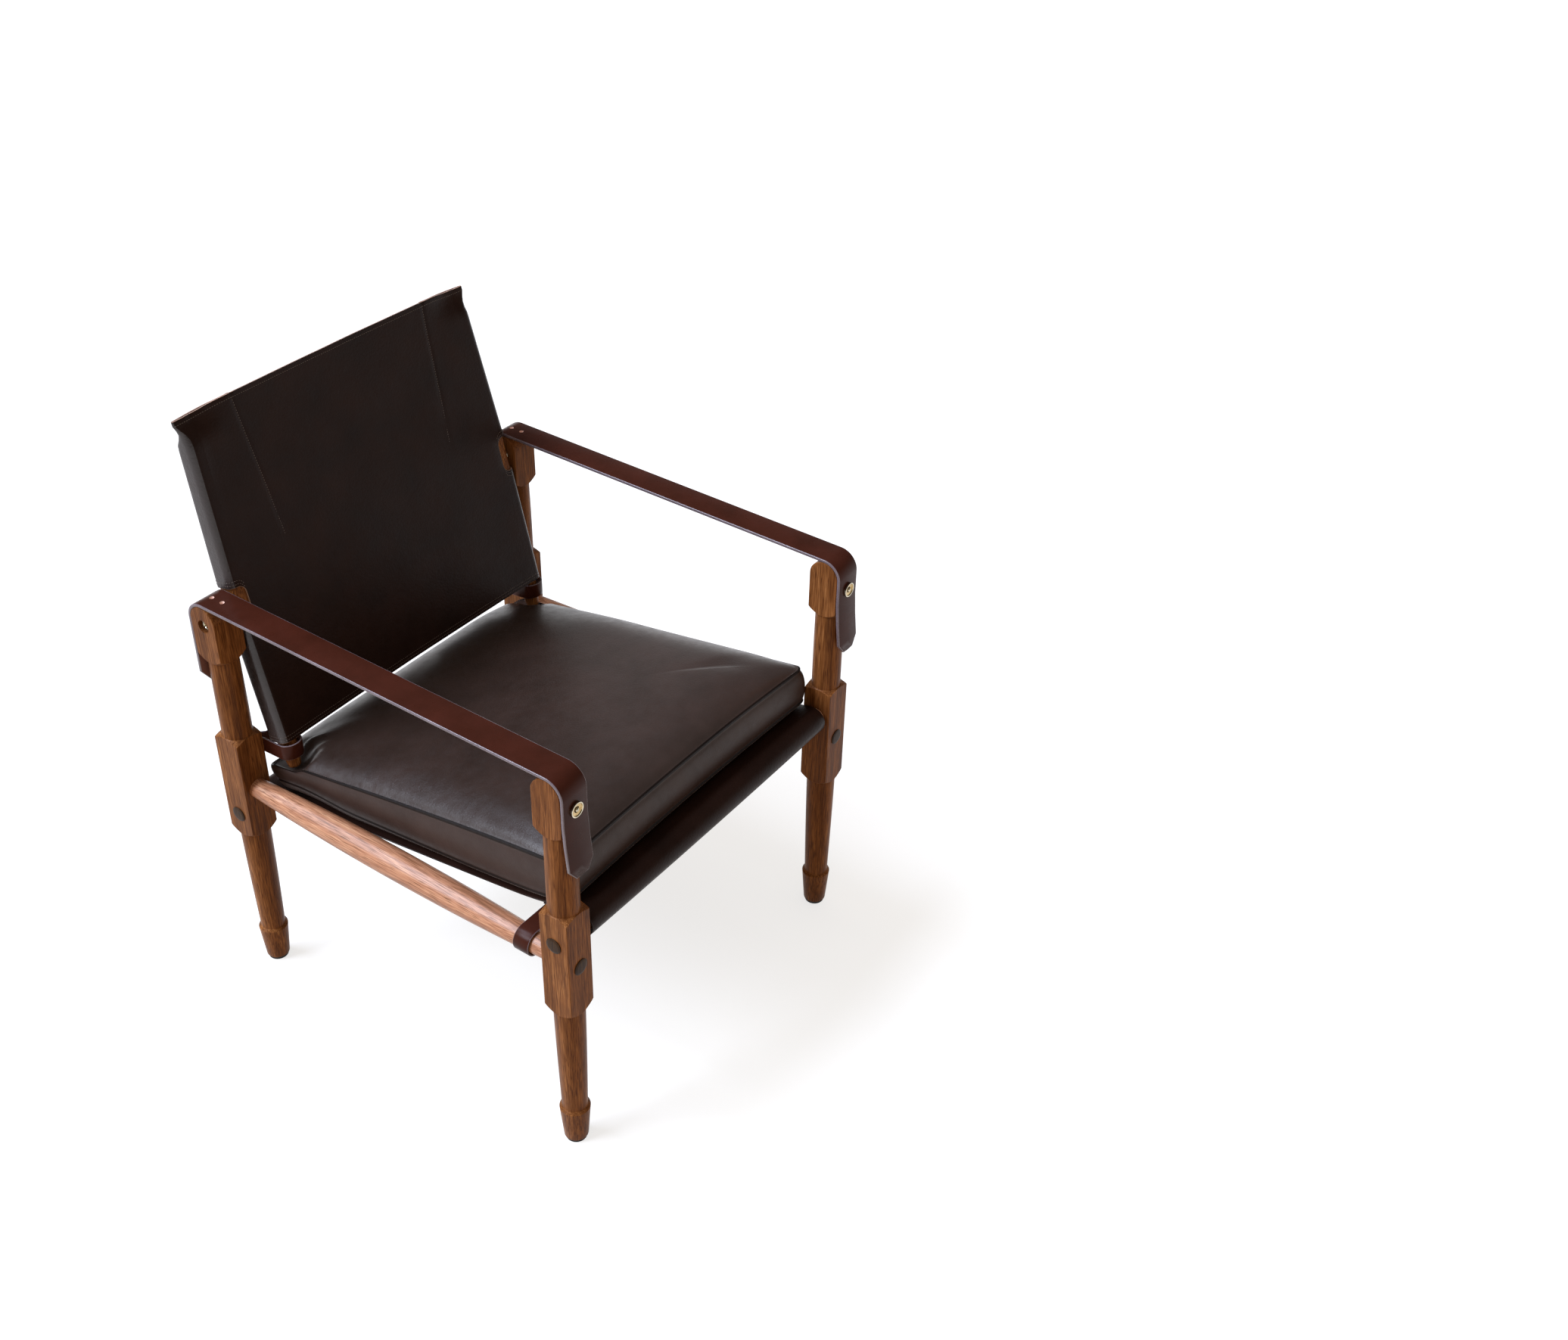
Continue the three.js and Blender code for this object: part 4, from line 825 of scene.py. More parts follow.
def seat_sag(along):
    """How far the seat hangs at a place between the rails"""
    from_front = max(0, along - SAG_CLEAR)
    from_rear = max(0, RAKE_LENGTH - SAG_CLEAR - along)
    return SAG * (1 - math.exp(-from_front / 30)) * (1 - math.exp(-from_rear / 60))


def sleeve_line(x):
    """The radius of the sleeve's middle line, a little more in the middle of the rail"""
    return lerp(SLEEVE_END, SLEEVE_MIDDLE, 1 - (x / SLEEVE_REACH) ** 2) + SLING_LEATHER / 2


def sleeve_path(x):
    """Half of the sling in (b, n): the hem under the panel, the wrap round the rail, its top"""
    radius = sleeve_line(x)
    under = radius - SLING_LEATHER - 0.3
    path = [(radius * 1.9 + 24, under), (radius * 1.9, under), (radius * 1.42, radius * 0.52),
            (radius * 1.13, radius * 0.05)]
    for angle in steps(0.72 * 2 * math.pi, 0, 30):
        path.append((-radius * math.sin(angle), radius * math.cos(angle)))
    return [path[0], *eased(path[:6], 5, 3)[1:], *path[6:]]


def make_seat_sling():
    grid = []
    for x in steps(-SLEEVE_REACH, SLEEVE_REACH, 36):
        half = [tuple(spot) for spot in sleeve_path(x)]
        middle = [(b, sleeve_line(x)) for b in steps(0, RAKE_LENGTH, 24)[1:-1]]
        rear = [(RAKE_LENGTH - b, n) for b, n in reversed(half)]
        grid.append([on_rake(x, b, n - seat_sag(b)) for b, n in [*half, *middle, *rear]])
    bm = hide(grid, SLING_LEATHER, 0.5, ease_steps=2)
    made = piece("slung_seat", bm, "frame", "sling_leather", SEAT_FINISH, ["seat_sling"])


# Cushion

CUSHION_FRONT = 9
CUSHION_REAR = RAKE_LENGTH - 30.2
CUSHION_MIDDLE = (CUSHION_FRONT + CUSHION_REAR) / 2
CUSHION_HALF_LONG = (CUSHION_REAR - CUSHION_FRONT) / 2
CUSHION_HALF_WIDE = INNER_FACE - 3.8
CUSHION_CORNER = 12
SEAM_HEIGHT = 57
SEAM_RISE = 10
LEFT_DROOP = 9
RIGHT_DROOP = 3
SEAM_REACH = 262
LOW_SEAM = (9, 20)
SAG_FADE = (515, 400)
PIT_EDGE = (27, 11.5)
CROWN = 24
CROWN_EASE = 24
DRAWN_IN = 4
# Rings from the middle of the underside to the middle of the top: the share of the outline, the
# level (0 on the seat, 1 at the lower seam, 2 at the top seam), the share of the crown, and whether
# sewing or the seat holds the ring. Each seam is a ridge between two grooves that its stitches draw in.
CUSHION_RINGS = [
    (0.35, 0, 0, 1), (0.7, 0, 0, 1), (0.9, 0, 0, 1), (0.955, 0.05, 0, 1), (0.975, 0.25, 0, 0),
    (0.987, 0.55, 0, 0), (0.992, 0.82, 0, 1), (0.998, 1, 0, 1), (0.993, 1.06, 0, 1), (0.999, 1.13, 0, 0),
    (1.003, 1.22, 0, 0), (1.006, 1.32, 0, 0), (1.008, 1.43, 0, 0), (1.009, 1.54, 0, 0), (1.008, 1.65, 0, 0),
    (1.006, 1.75, 0, 0), (1.002, 1.85, 0, 0), (0.993, 1.925, 0, 1), (1, 1.985, 0, 1), (0.987, 1.99, 0.05, 1),
    (0.98, 2, 0.6, 0),
]
TOP_SHARES = (0.966, 0.944, 0.912, 0.87, 0.82, 0.76, 0.69, 0.61, 0.52, 0.42, 0.31, 0.2, 0.08)
CUSHION_RINGS += [(share, 2, 1, 0) for share in TOP_SHARES]
STITCHED_RINGS = (7, 9, 18, 20)
# Bands between the rings: those in the seams, which take the painted shade, and the first one of the top
SHADED_SEAM_BANDS = (8, 18, 19)
TOP_RING = 18


def seam_height(x, along):
    """The height of the top seam over the seat, which falls from the front to the rear corners"""
    back = min(max((along - CUSHION_FRONT) / (CUSHION_REAR - CUSHION_FRONT), 0), 1)
    rise = SEAM_RISE * (1 - smooth(0, 0.9, back)) * (1 - 0.3 * smooth(60, SEAM_REACH, x))
    droop = LEFT_DROOP if x > 0 else RIGHT_DROOP
    droop *= smooth(140, SEAM_REACH, abs(x)) * smooth(0.55, 1, back)
    return SEAM_HEIGHT + rise - droop


def low_seam(along):
    """The height of the lower seam, which lies low in front and higher at the rear"""
    return lerp(*LOW_SEAM, smooth(0.25, 1, (along - CUSHION_FRONT) / (CUSHION_REAR - CUSHION_FRONT)))


def cushion_outline():
    """The outline in (x, b), counter-clockwise, with its sides drawn in between the corners"""
    turns = [(1, 1), (-1, 1), (-1, -1), (1, -1)]

    def corner_point(turn, angle):
        x, b = turns[turn % 4]
        return (x * (CUSHION_HALF_WIDE - CUSHION_CORNER) + CUSHION_CORNER * math.cos(angle),
                b * (CUSHION_HALF_LONG - CUSHION_CORNER) + CUSHION_CORNER * math.sin(angle))

    outline = []
    for turn in range(4):
        last = (turn + 1) * math.pi / 2
        outline += [corner_point(turn, angle) for angle in steps(turn * math.pi / 2, last, 9)]
        start, end = outline[-1], corner_point(turn + 1, last)
        outline += [(lerp(start[0], end[0], s), lerp(start[1], end[1], s)) for s in steps(0, 1, 80)[1:-1]]
    return [
        (x * (1 - DRAWN_IN / CUSHION_HALF_WIDE * (1 - (b / CUSHION_HALF_LONG) ** 2)),
         b * (1 - DRAWN_IN / CUSHION_HALF_LONG * (1 - (x / CUSHION_HALF_WIDE) ** 2)))
        for x, b in outline
    ]


def crown_height(x, b):
    """The crown, which rises softly from all four seams, with no ridge towards the corners"""
    wide = CUSHION_HALF_WIDE - DRAWN_IN * (1 - (b / CUSHION_HALF_LONG) ** 2)
    long = CUSHION_HALF_LONG - DRAWN_IN * (1 - (x / CUSHION_HALF_WIDE) ** 2)
    across = 1 - math.exp(-max(0, wide - abs(x)) / CROWN_EASE)
    along = 1 - math.exp(-max(0, long - abs(b)) / CROWN_EASE)
    return CROWN * across * along


def tip_place(lean):
    """The front foot of a back post at a lean, as (along the rake, above it)"""
    y = 2 * HALF_DEEP - POST_TIP * math.sin(lean) - 9.5 * math.cos(lean)
    z = PIVOT_HEIGHT - POST_TIP * math.cos(lean) - FRONT_RAIL
    tip = Vector((0, y, z))
    return tip.dot(RAKE_BACK), tip.dot(RAKE_UP)


TIPS = [tip_place(LEAN), tip_place(LEAN - TILT)]
PIT_START = TIPS[0][0]
PIT_LEVEL = min(above for _, above in TIPS) - 1.2


def cushion_point(x, b, level, crown):
    """A place on the cushion, with the pits that the feet of the back posts press and run in"""
    bed = sleeve_line(min(abs(x), SLEEVE_REACH)) + SLING_LEATHER / 2 + 0.4
    along = b + CUSHION_MIDDLE
    low, seam = low_seam(along), seam_height(x, along)
    sag = seat_sag(along) * (1 - max(0, level - 1)) * smooth(*SAG_FADE, along)
    height = (lerp(0, low, level) if level < 1 else lerp(low, seam, level - 1)) - sag
    height += crown_height(x, b) * crown
    outward = abs(x) - POST_MIDDLE
    near = math.hypot(outward * (1.35 if outward > 0 else 1), min(0, along - PIT_START))
    sunk = smooth(*PIT_EDGE, near) * smooth(1.2, 2, level)
    return on_rake(x, along, bed + lerp(height, min(height, PIT_LEVEL - bed), sunk))


def cushion_shape():
    """The cushion before it is filled, its rings of vertices and the numbers of the held ones"""
    outline = cushion_outline()
    bm = bmesh.new()
    rings = [[bm.verts.new(cushion_point(0, 0, 0, 0))]]
    held = []
    for share, level, crown, fixed in CUSHION_RINGS:
        rings.append([bm.verts.new(cushion_point(x * share, b * share, level, crown)) for x, b in outline])
        if fixed:
            held += range(1 + (len(rings) - 2) * len(outline), 1 + (len(rings) - 1) * len(outline))
    rings.append([bm.verts.new(cushion_point(0, 0, 2, 1))])
    for number, (low, high) in enumerate(zip(rings, rings[1:])):
        material = 2 if number < TOP_RING else 0
        # Bands in the seams take the hide painted with the seams' shade
        bridge(bm, low, high, 1 if number in SHADED_SEAM_BANDS else material)
    return bm, len(outline), [0, *held]


FILLING = {
    "quality": 6, "mass": 0.4, "tension_stiffness": 15, "compression_stiffness": 15, "shear_stiffness": 5,
    "bending_stiffness": 8, "use_pressure": True, "uniform_pressure_force": 4, "vertex_group_mass": "held",
}
FILLING_FRAMES = 20
EVENING_PASSES = 40
MOST_MOVE = 1.5


def fill_cushion(made, held):
    """Blows the free leather out between the seams, as a filling does, then evens and caps the moves"""
    before = [vert.co.copy() for vert in made.data.vertices]
    group = made.vertex_groups.new(name="held")
    group.add(held, 1, "REPLACE")
    cloth = made.modifiers.new("filling", "CLOTH")
    for name, value in FILLING.items():
        setattr(cloth.settings, name, value)
    cloth.settings.effector_weights.gravity = 0
    cloth.point_cache.frame_start = 1
    cloth.point_cache.frame_end = FILLING_FRAMES
    scene = bpy.context.scene
    for number in range(1, FILLING_FRAMES + 1):
        scene.frame_set(number)
    graph = bpy.context.evaluated_depsgraph_get()
    moves = [vert.co - start for vert, start in zip(made.evaluated_get(graph).data.vertices, before)]
    made.modifiers.remove(cloth)
    made.vertex_groups.clear()
    scene.frame_set(1)
    beside = [[] for _ in moves]
    for edge in made.data.edges:
        first, second = edge.vertices
        beside[first].append(second)
        beside[second].append(first)
    still = set(held)
    for _ in range(EVENING_PASSES):
        evened = []
        for number, move in enumerate(moves):
            near = sum((moves[other] for other in beside[number]), Vector()) / len(beside[number])
            evened.append(move if number in still else move.lerp(near, 0.6))
        moves = evened
    for vert, start, move in zip(made.data.vertices, before, moves):
        vert.co = start + move * min(1, MOST_MOVE * MM / max(move.length, 1e-9))


def make_cushion():
    bm, around, held = cushion_shape()
    bmesh.ops.recalc_face_normals(bm, faces=bm.faces)
    made = piece("box_cushion", bm, "cushion", "cushion_leather", [hide_cushion, seam_shade, hide_boxing],
                 ["seat_cushion"], crease=70)
    fill_cushion(made, held)
    made.data.update()
    sewing = bmesh.new()
    for ring in STITCHED_RINGS:
        first = 1 + (ring - 1) * around
        verts = made.data.vertices[first:first + around]
        sew(sewing, [(CHAIR.inverted() @ vert.co, vert.normal.copy()) for vert in verts], closed=True)
    piece("cushion_stitching", sewing, "cushion", "cushion_leather", [thread])
    soften = made.modifiers.new("soften", "SUBSURF")
    soften.levels = 1
    soften.render_levels = 1


# Back posts and pivots

POST_HALVES = (14, 15.5)
POST_ANKLE = -222
POST_BLOCK_FOOT = -195
POST_TAPER = 0.35
POST_LEAN_IN = 6


def post_levels():
    """The levels of a back post from its foot up"""
    lines = [(-POST_TIP, 4.5)]
    lines += [(-POST_TIP + 5 - 5 * math.cos(a), 4.5 + 5 * math.sin(a)) for a in steps(0, math.pi / 2, 5)[1:]]
    lines += [(POST_ANKLE, POST_NECK)]
    lines += shoulder(POST_BLOCK_FOOT, POST_NECK, 1, *POST_HALVES)
    lines += [(height, 30) for height in steps(26, POST_TOP - 34, 12)]
    lines += list(reversed(shoulder(POST_TOP - 24, POST_NECK, -1, *POST_HALVES)))
    lines += [(POST_TOP - 18, 11), (POST_TOP - 15, 7.5)]
    return [(height, radius, *POST_HALVES) for height, radius in lines]


def make_posts():
    for side, x_sign in SIDES.items():
        bm = milled(post_levels(), 7)
        out = X * x_sign
        bm = cut(bm, [drill(6.5, out * 8, out, 15, 32)])
        for vert in bm.verts:
            drawn = smooth(25, 200, vert.co.z)
            vert.co.x = vert.co.x * (1 - POST_TAPER * drawn) - x_sign * POST_LEAN_IN * drawn
            vert.co.y *= 1 - POST_TAPER * drawn
        stand_in("milled", f"back_post_{side}", move(bm, out * POST_MIDDLE), "back", "walnut", [walnut_z])


BOLT_SEAT = 9.2
BOLT_GRIP = 21.7


def make_pivots():
    seat = HALF_WIDE + HALF_STOCK - BOLT_SEAT
    tip = POST_OUTER - BOLT_GRIP
    reach = seat - tip
    rim = eased([(4, reach), (7.2, reach), (7.2, reach + 5), (4.2, reach + 5)], 0.7)
    bolt = [(0, 0), (4, 0), *rim, (3.4, reach + 4.2), (3.3, reach + 2), (0, reach + 2)]
    washer = eased([(4.3, 0), (11, 0), (11, 4.15), (4.3, 4.15)], 0.6)
    for side, x_sign in SIDES.items():
        out = X * x_sign
        screw = aim(turned(bolt, 40), out * tip, out)
        stand_in("turned", f"pivot_bolt_{side}", screw, "back", "nickelled_steel", [steel])
        ring = aim(turned([*washer, washer[0]], 40), out * (POST_OUTER + 0.3), out)
        stand_in("turned", f"pivot_washer_{side}", ring, "back", "nickelled_steel", [steel])
        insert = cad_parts[f"post_insert_{side}"].data.materials
        insert.clear()
        insert.append(brass)


# Back sling

SLING_FACE = 17.1
SLING_OUTER = POST_OUTER + 1.6
CUTOUT_REACH = 246
NARROWED = 11
CUTOUT_CORNER = 11
SLING_FOOT = -205
SLING_HEAD = 272
FLAP_HEAD = -20
FLAP_HEAD_INNER = -55
FLAP_END = 57
HEM_OUTER = 33
HEM_INNER = 30
SEAM_FOOT = 156
SEAM_HEAD = 174
DROOP = 6
FLARE = 7
LAYERS_APART = 2.8
PINCH_FOOT = POST_TOP - 24
PINCH_DEPTH = 10
PANEL_SAG = 5
SEAM_DENT = 0.9
WRAP_TAPER = 5
WRAP_ROUND = 9.5
WRAP_START = 11


def sling_top(x):
    """The height of the top edge, which droops from the seams to the corners"""
    return SLING_HEAD - DROOP * smooth(166, 275, abs(x))


def pinch(x, u):
    """How far the two layers are drawn together above the post tops, from 0 to 1"""
    return smooth(PINCH_FOOT, sling_top(x) - 4, u)


def seam_x(u):
    """Where the upper wrap is sewn to the panel"""
    return lerp(SEAM_FOOT, SEAM_HEAD, min(max((u - HEM_INNER) / (SLING_HEAD - HEM_INNER), 0), 1))


def cutout_edge(x, edge, turn):
    """The edge of a cut-out, which rounds into its inner side"""
    share = min(max((CUTOUT_REACH + CUTOUT_CORNER - abs(x)) / CUTOUT_CORNER, 0), 1)
    return edge + turn * CUTOUT_CORNER * (1 - math.sqrt(1 - share * share))


CUTOUT_STEPS = [CUTOUT_REACH + step for step in (9.5, 8, 6.5, 5, 3.5, 2.2, 1.1, 0.3)]


def front_depth(x, u):
    """The depth of the panel, which sags a little to the rear between the posts"""
    sag = PANEL_SAG * max(0, 1 - (x / CUTOUT_REACH) ** 2)
    uneven = ripple((x, 0, u), 90, 1.1) * smooth(250, 200, abs(x))
    seam = SEAM_DENT * smooth(4.5, 0, abs(abs(x) - seam_x(u))) * smooth(HEM_INNER - 8, HEM_INNER, u)
    return -SLING_FACE + sag + uneven + seam + PINCH_DEPTH * pinch(x, u) * smooth(175, 240, abs(x))


def rear_depth(x, u):
    """The depth of the upper wrap, from its seam to the back of the post"""
    face = SLING_FACE - WRAP_TAPER * (u - HEM_INNER) / (SLING_HEAD - HEM_INNER)
    closed = front_depth(x, u) + LAYERS_APART
    return lerp(lerp(closed, face, smooth(seam_x(u) - 12, POST_INNER + 8, abs(x))), closed, pinch(x, u))


def wrap_section(front, rear, outer):
    """The turn round a post from its back to its front, as (x, y) from the rear layer on"""
    radius = min(WRAP_ROUND, (rear - front) / 2)
    quarter = math.pi / 2
    turn = []
    for middle, start, end in ((rear - radius, quarter, 0), (front + radius, 0, -quarter)):
        for angle in steps(start, end, 8):
            turn.append((outer - radius + radius * math.cos(angle), middle + radius * math.sin(angle)))
    return turn


def upper_row(share):
    """One side of the upper sling, from the seam round to the front of the post"""
    top = sling_top(SLING_OUTER)
    seam = seam_x(lerp(HEM_INNER, SLING_HEAD, share))
    narrowing = NARROWED * share
    row = []
    for x in steps(seam, SLING_OUTER - WRAP_START - narrowing, 10):
        u = lerp(lerp(HEM_INNER, HEM_OUTER, smooth(seam, SLING_OUTER - 20, x)), sling_top(x), share)
        row.append(Vector((x, rear_depth(x, u), u)))
    u = lerp(HEM_OUTER, top, share)
    outer = SLING_OUTER - narrowing + FLARE * pinch(SLING_OUTER, u) ** 4
    for x, y in wrap_section(front_depth(SLING_OUTER, u), rear_depth(SLING_OUTER, u), outer):
        row.append(Vector((x, y, u)))
    for x in CUTOUT_STEPS:
        u = lerp(cutout_edge(x, HEM_OUTER, -1), sling_top(x), share)
        row.append(Vector((x - narrowing, front_depth(x - narrowing, u), u)))
    return row


def lower_row(share):
    """One side of the lower sling, from the flap's end round to the front of the post"""
    row = []
    wrap_start = SLING_OUTER - WRAP_START
    for x in steps(FLAP_END, wrap_start, 10):
        head = lerp(FLAP_HEAD_INNER, FLAP_HEAD, (x - FLAP_END) / (wrap_start - FLAP_END))
        u = lerp(SLING_FOOT, head, share)
        uneven = ripple((x, 40, u), 70, 0.8) * smooth(POST_INNER, POST_INNER - 40, x)
        row.append(Vector((x, SLING_FACE + max(uneven, -0.2), u)))
    u = lerp(SLING_FOOT, FLAP_HEAD, share)
    for x, y in wrap_section(-SLING_FACE, SLING_FACE, SLING_OUTER):
        row.append(Vector((x, y, u)))
    for x in CUTOUT_STEPS:
        u = lerp(SLING_FOOT, cutout_edge(x, FLAP_HEAD, 1), share)
        row.append(Vector((x, front_depth(x, u), u)))
    return row


def mirror(row):
    return [Vector((-point.x, point.y, point.z)) for point in row]


def panel_columns():
    """Columns of the panel from side to side, closer together along the two seams"""
    half = [CUTOUT_REACH, 232, 216, 200, 188, 178]
    half += [173, 170.5, 168, 165.7, 163.4, 161.1, 158.8, 154, 144, 130]
    half += steps(112, 16, 6)
    return [*half, 0, *(-x for x in reversed(half))]


def follow_seam(x, u):
    """A column's place at a height, moved so that it keeps to its seam"""
    near_seam = smooth(90, 158, abs(x)) * smooth(240, 173, abs(x))
    shift = (seam_x(u) - seam_x((SLING_HEAD + HEM_INNER) / 2)) * near_seam
    return x + math.copysign(shift, x)


def back_grid():
    """The sling's middle surface from its foot to its top, with the row below the cut-outs"""
    panel = panel_columns()
    grid = []
    low_rows, high_rows = 12, 22
    for j in range(low_rows + 1):
        share = j / low_rows
        side = lower_row(share)
        u = lerp(SLING_FOOT, cutout_edge(0, FLAP_HEAD, 1), share)
        middle = [Vector((x, front_depth(x, u), u)) for x in panel]
        grid.append([*side, *middle, *reversed(mirror(side))])
    for j in range(high_rows + 1):
        share = j / high_rows
        share = lerp(share, 1 - (1 - share) ** 2, 0.4)
        side = upper_row(share)
        middle = []
        for column in panel:
            u = lerp(cutout_edge(column, HEM_OUTER, -1), sling_top(column), share)
            narrowing = NARROWED * share * smooth(180, CUTOUT_REACH, abs(column))
            x = follow_seam(column, u) - math.copysign(narrowing, column)
            middle.append(Vector((x, front_depth(x, u), u)))
        grid.append([*side, *middle, *reversed(mirror(side))])
    return grid, low_rows, len(side)


def grid_area(grid, keep):
    """The area of the kept cells, in square metres"""
    total = 0
    for i in range(len(grid) - 1):
        for j in range(len(grid[0]) - 1):
            if keep(i, j):
                a, b, c, d = grid[i][j], grid[i + 1][j], grid[i + 1][j + 1], grid[i][j + 1]
                total += (c - a).cross(d - b).length / 2
    return total * MM * MM


def oblong(half_x, half_z, count=8):
    """Points of an upright oblong with round ends, counter-clockwise about Y"""
    straight = half_z - half_x
    points = []
    for centre, start in ((straight, 0), (-straight, math.pi)):
        for angle in steps(start, start + math.pi, count):
            points.append((half_x * math.cos(angle), centre + half_x * math.sin(angle)))
    return points


def oblong_ring(profile, count=10):
    """A closed oblong ring from (half width, half height, depth) levels"""
    bm = bmesh.new()
    rings = []
    for half_x, half_z, depth in profile:
        rings.append([bm.verts.new((x, depth, z)) for x, z in oblong(half_x, half_z, count)])
    for low, high in zip(rings, rings[1:] + rings[:1]):
        bridge(bm, low, high)
    return bm


def oblong_block(half_x, half_z, depth):
    """A plain oblong cutter through Y = 0"""
    bm = bmesh.new()
    rings = [[bm.verts.new((x, y, z)) for x, z in oblong(half_x, half_z)] for y in (-depth, depth)]
    bridge(bm, *rings)
    for ring in rings:
        bm.faces.new(ring)
    for face in bm.faces:
        face.material_index = 1
    return bm


EYELET_X = 80
EYELETS = {"upper": -105.5, "lower": -168}
EYELET_SLOT = (4.7, 14.7)
PAINTED_SHEEN_FACING = 0.45


def make_back_sling():
    grid, low_rows, side = back_grid()
    last = len(grid[0]) - 1

    def keep(i, j):
        return i != low_rows or side <= j < last - side

    bm = hide(grid, SLING_LEATHER, 0.45, keep, ease_steps=2)
    bmesh.ops.recalc_face_normals(bm, faces=bm.faces)
    # Faces turned to the sides take the hide with the painted sheen
    for face in bm.faces:
        if face.material_index == 0 and abs(face.normal.x) > PAINTED_SHEEN_FACING:
            face.material_index = 3
    tools = []
    for height in EYELETS.values():
        for x_sign in SIDES.values():
            tools.append(move(oblong_block(*EYELET_SLOT, 4), (x_sign * EYELET_X, SLING_FACE, height)))
    bm = cut(bm, tools)
    made = piece("slung_back", bm, "back", "sling_leather", BACK_FINISH, ["back_sling"])
    area = grid_area(grid, keep)
    wide = sum((there - here).length for here, there in zip(grid[0], grid[0][1:])) * MM
    sew_back(grid, low_rows, side)


def surface_line(grid, spots, side):
    """(place, normal) spots on a face of the leather, from (row, column) places on its grid"""
    rows, columns = len(grid), len(grid[0])

    def point(i, j):
        low_i, low_j = min(int(i), rows - 2), min(int(j), columns - 2)
        si, sj = i - low_i, j - low_j
        low = grid[low_i][low_j].lerp(grid[low_i][low_j + 1], sj)
        high = grid[low_i + 1][low_j].lerp(grid[low_i + 1][low_j + 1], sj)
        return low.lerp(high, si)

    line = []
    for i, j in spots:
        along = point(min(i + 0.2, rows - 1), j) - point(max(i - 0.2, 0), j)
        across = point(i, min(j + 0.2, columns - 1)) - point(i, max(j - 0.2, 0))
        normal = along.cross(across).normalized() * side
        line.append((point(i, j) + normal * SLING_LEATHER / 2, normal))
    return line


def inset(line, start, step, distance):
    """The place in a row or column of the grid, as a number, at a distance in from one of its points"""
    number, left = start, distance
    gap = (line[number + step] - line[number]).length
    while left > gap:
        left -= gap
        number += step
        gap = (line[number + step] - line[number]).length
    return number + step * left / gap


def sew_back(grid, low_rows, side):
    """The rows of stitches along the hems, the flap ends and the upper seams"""
    sewing = bmesh.new()
    columns = list(zip(*grid))
    top = len(grid) - 1
    last = len(columns) - 1
    wraps = (range(side), range(last - side + 1, last + 1))

    def hem(start, step, distance, span, face=1):
        spots = [(inset(columns[j], start, step, distance), j) for j in span]
        sew(sewing, surface_line(grid, spots, face))

    def edges(distance, rows):
        for start, step in ((0, 1), (last, -1)):
            spots = [(i, inset(grid[i], start, step, distance)) for i in rows]
            sew(sewing, surface_line(grid, spots, 1))

    for face in (1, -1):
        hem(top, -1, 6.5, range(last + 1), face)
    for distance in (4.2, 9):
        hem(0, 1, distance, range(last + 1))
        for start, step in ((low_rows, -1), (low_rows + 1, 1)):
            for span in wraps:
                hem(start, step, distance, span)
    for distance in (4, 9.5, 13):
        edges(distance, range(low_rows + 1))
    edges(3.5, range(low_rows + 1, top + 1))
    for sign in SIDES.values():
        line = []
        for u in steps(HEM_INNER + 2, SLING_HEAD - 5, 40):
            x = sign * seam_x(u)
            line.append((Vector((x, front_depth(x, u) - SLING_LEATHER / 2, u)), -Y))
        sew(sewing, line)
    piece("back_stitching", sewing, "back", "sling_leather", [thread])


# Tension straps, their eyelets and ball studs

MOUTH = 3.0
EYELET_FOOT = SLING_FACE - SLING_LEATHER / 2 - 1.3
EYELET_HEAD = SLING_FACE + SLING_LEATHER / 2 + 1.3
TENSION_LEATHER = 2.6
OUTER_LINE = EYELET_HEAD + 0.3 + TENSION_LEATHER / 2
INNER_LINE = EYELET_FOOT - 0.3 - TENSION_LEATHER / 2
LAP_LINE = OUTER_LINE + TENSION_LEATHER + 0.3
ENGAGED_X = 42
FREE_X = 14
FREE_HOLE_X = 10.5
INNER_TIP = -16
OUTER_TIP = 88
SLIT = 12
TENSIONS = {"upper": (8, 12), "lower": (12, 13)}


def inner_rise(x):
    return 8 * max(0, ENGAGED_X - x) / (ENGAGED_X - INNER_TIP)


def outer_spot(x, height, droop, bow):
    """A point of the outer run, which bows and droops from the engaged stud to the eyelet"""
    share = min(max((ENGAGED_X - x) / (ENGAGED_X + EYELET_X), 0), 1)
    belly = math.sin(share ** 0.85 * math.pi)
    line = lerp(LAP_LINE, OUTER_LINE, smooth(0, 0.75, share))
    return Vector((x, line + bow * belly, height - droop * belly))


def tension_path(height, droop, bow):
    """The loop of a tension strap from its outer tip, through four eyelets, to its inner tip"""
    outer_run = (OUTER_TIP, 84, 65, *steps(ENGAGED_X, -EYELET_X + 14, 16))
    path = [outer_spot(x, height, droop, bow) for x in outer_run]
    path += [Vector(spot) for spot in (
        (-EYELET_X + MOUTH, OUTER_LINE, height), (-EYELET_X, EYELET_HEAD, height),
        (-EYELET_X, EYELET_FOOT, height), (-EYELET_X + MOUTH, INNER_LINE, height),
        (0, INNER_LINE, height), (EYELET_X - MOUTH, INNER_LINE, height),
        (EYELET_X, EYELET_FOOT, height), (EYELET_X, EYELET_HEAD, height),
        (EYELET_X - MOUTH, OUTER_LINE, height))]
    path += [Vector((x, OUTER_LINE, height + inner_rise(x))) for x in (*steps(ENGAGED_X, -12, 6), INNER_TIP)]
    return path


def slit_cutter(spot):
    """The slit of a keyhole, from its round hole towards -X"""
    bm = bmesh.new()
    bmesh.ops.create_cube(bm, size=1)
    bmesh.ops.scale(bm, vec=(SLIT, 8, 0.8), verts=bm.verts)
    for face in bm.faces:
        face.material_index = 3
    return move(bm, (spot.x - SLIT / 2, spot.y, spot.z))


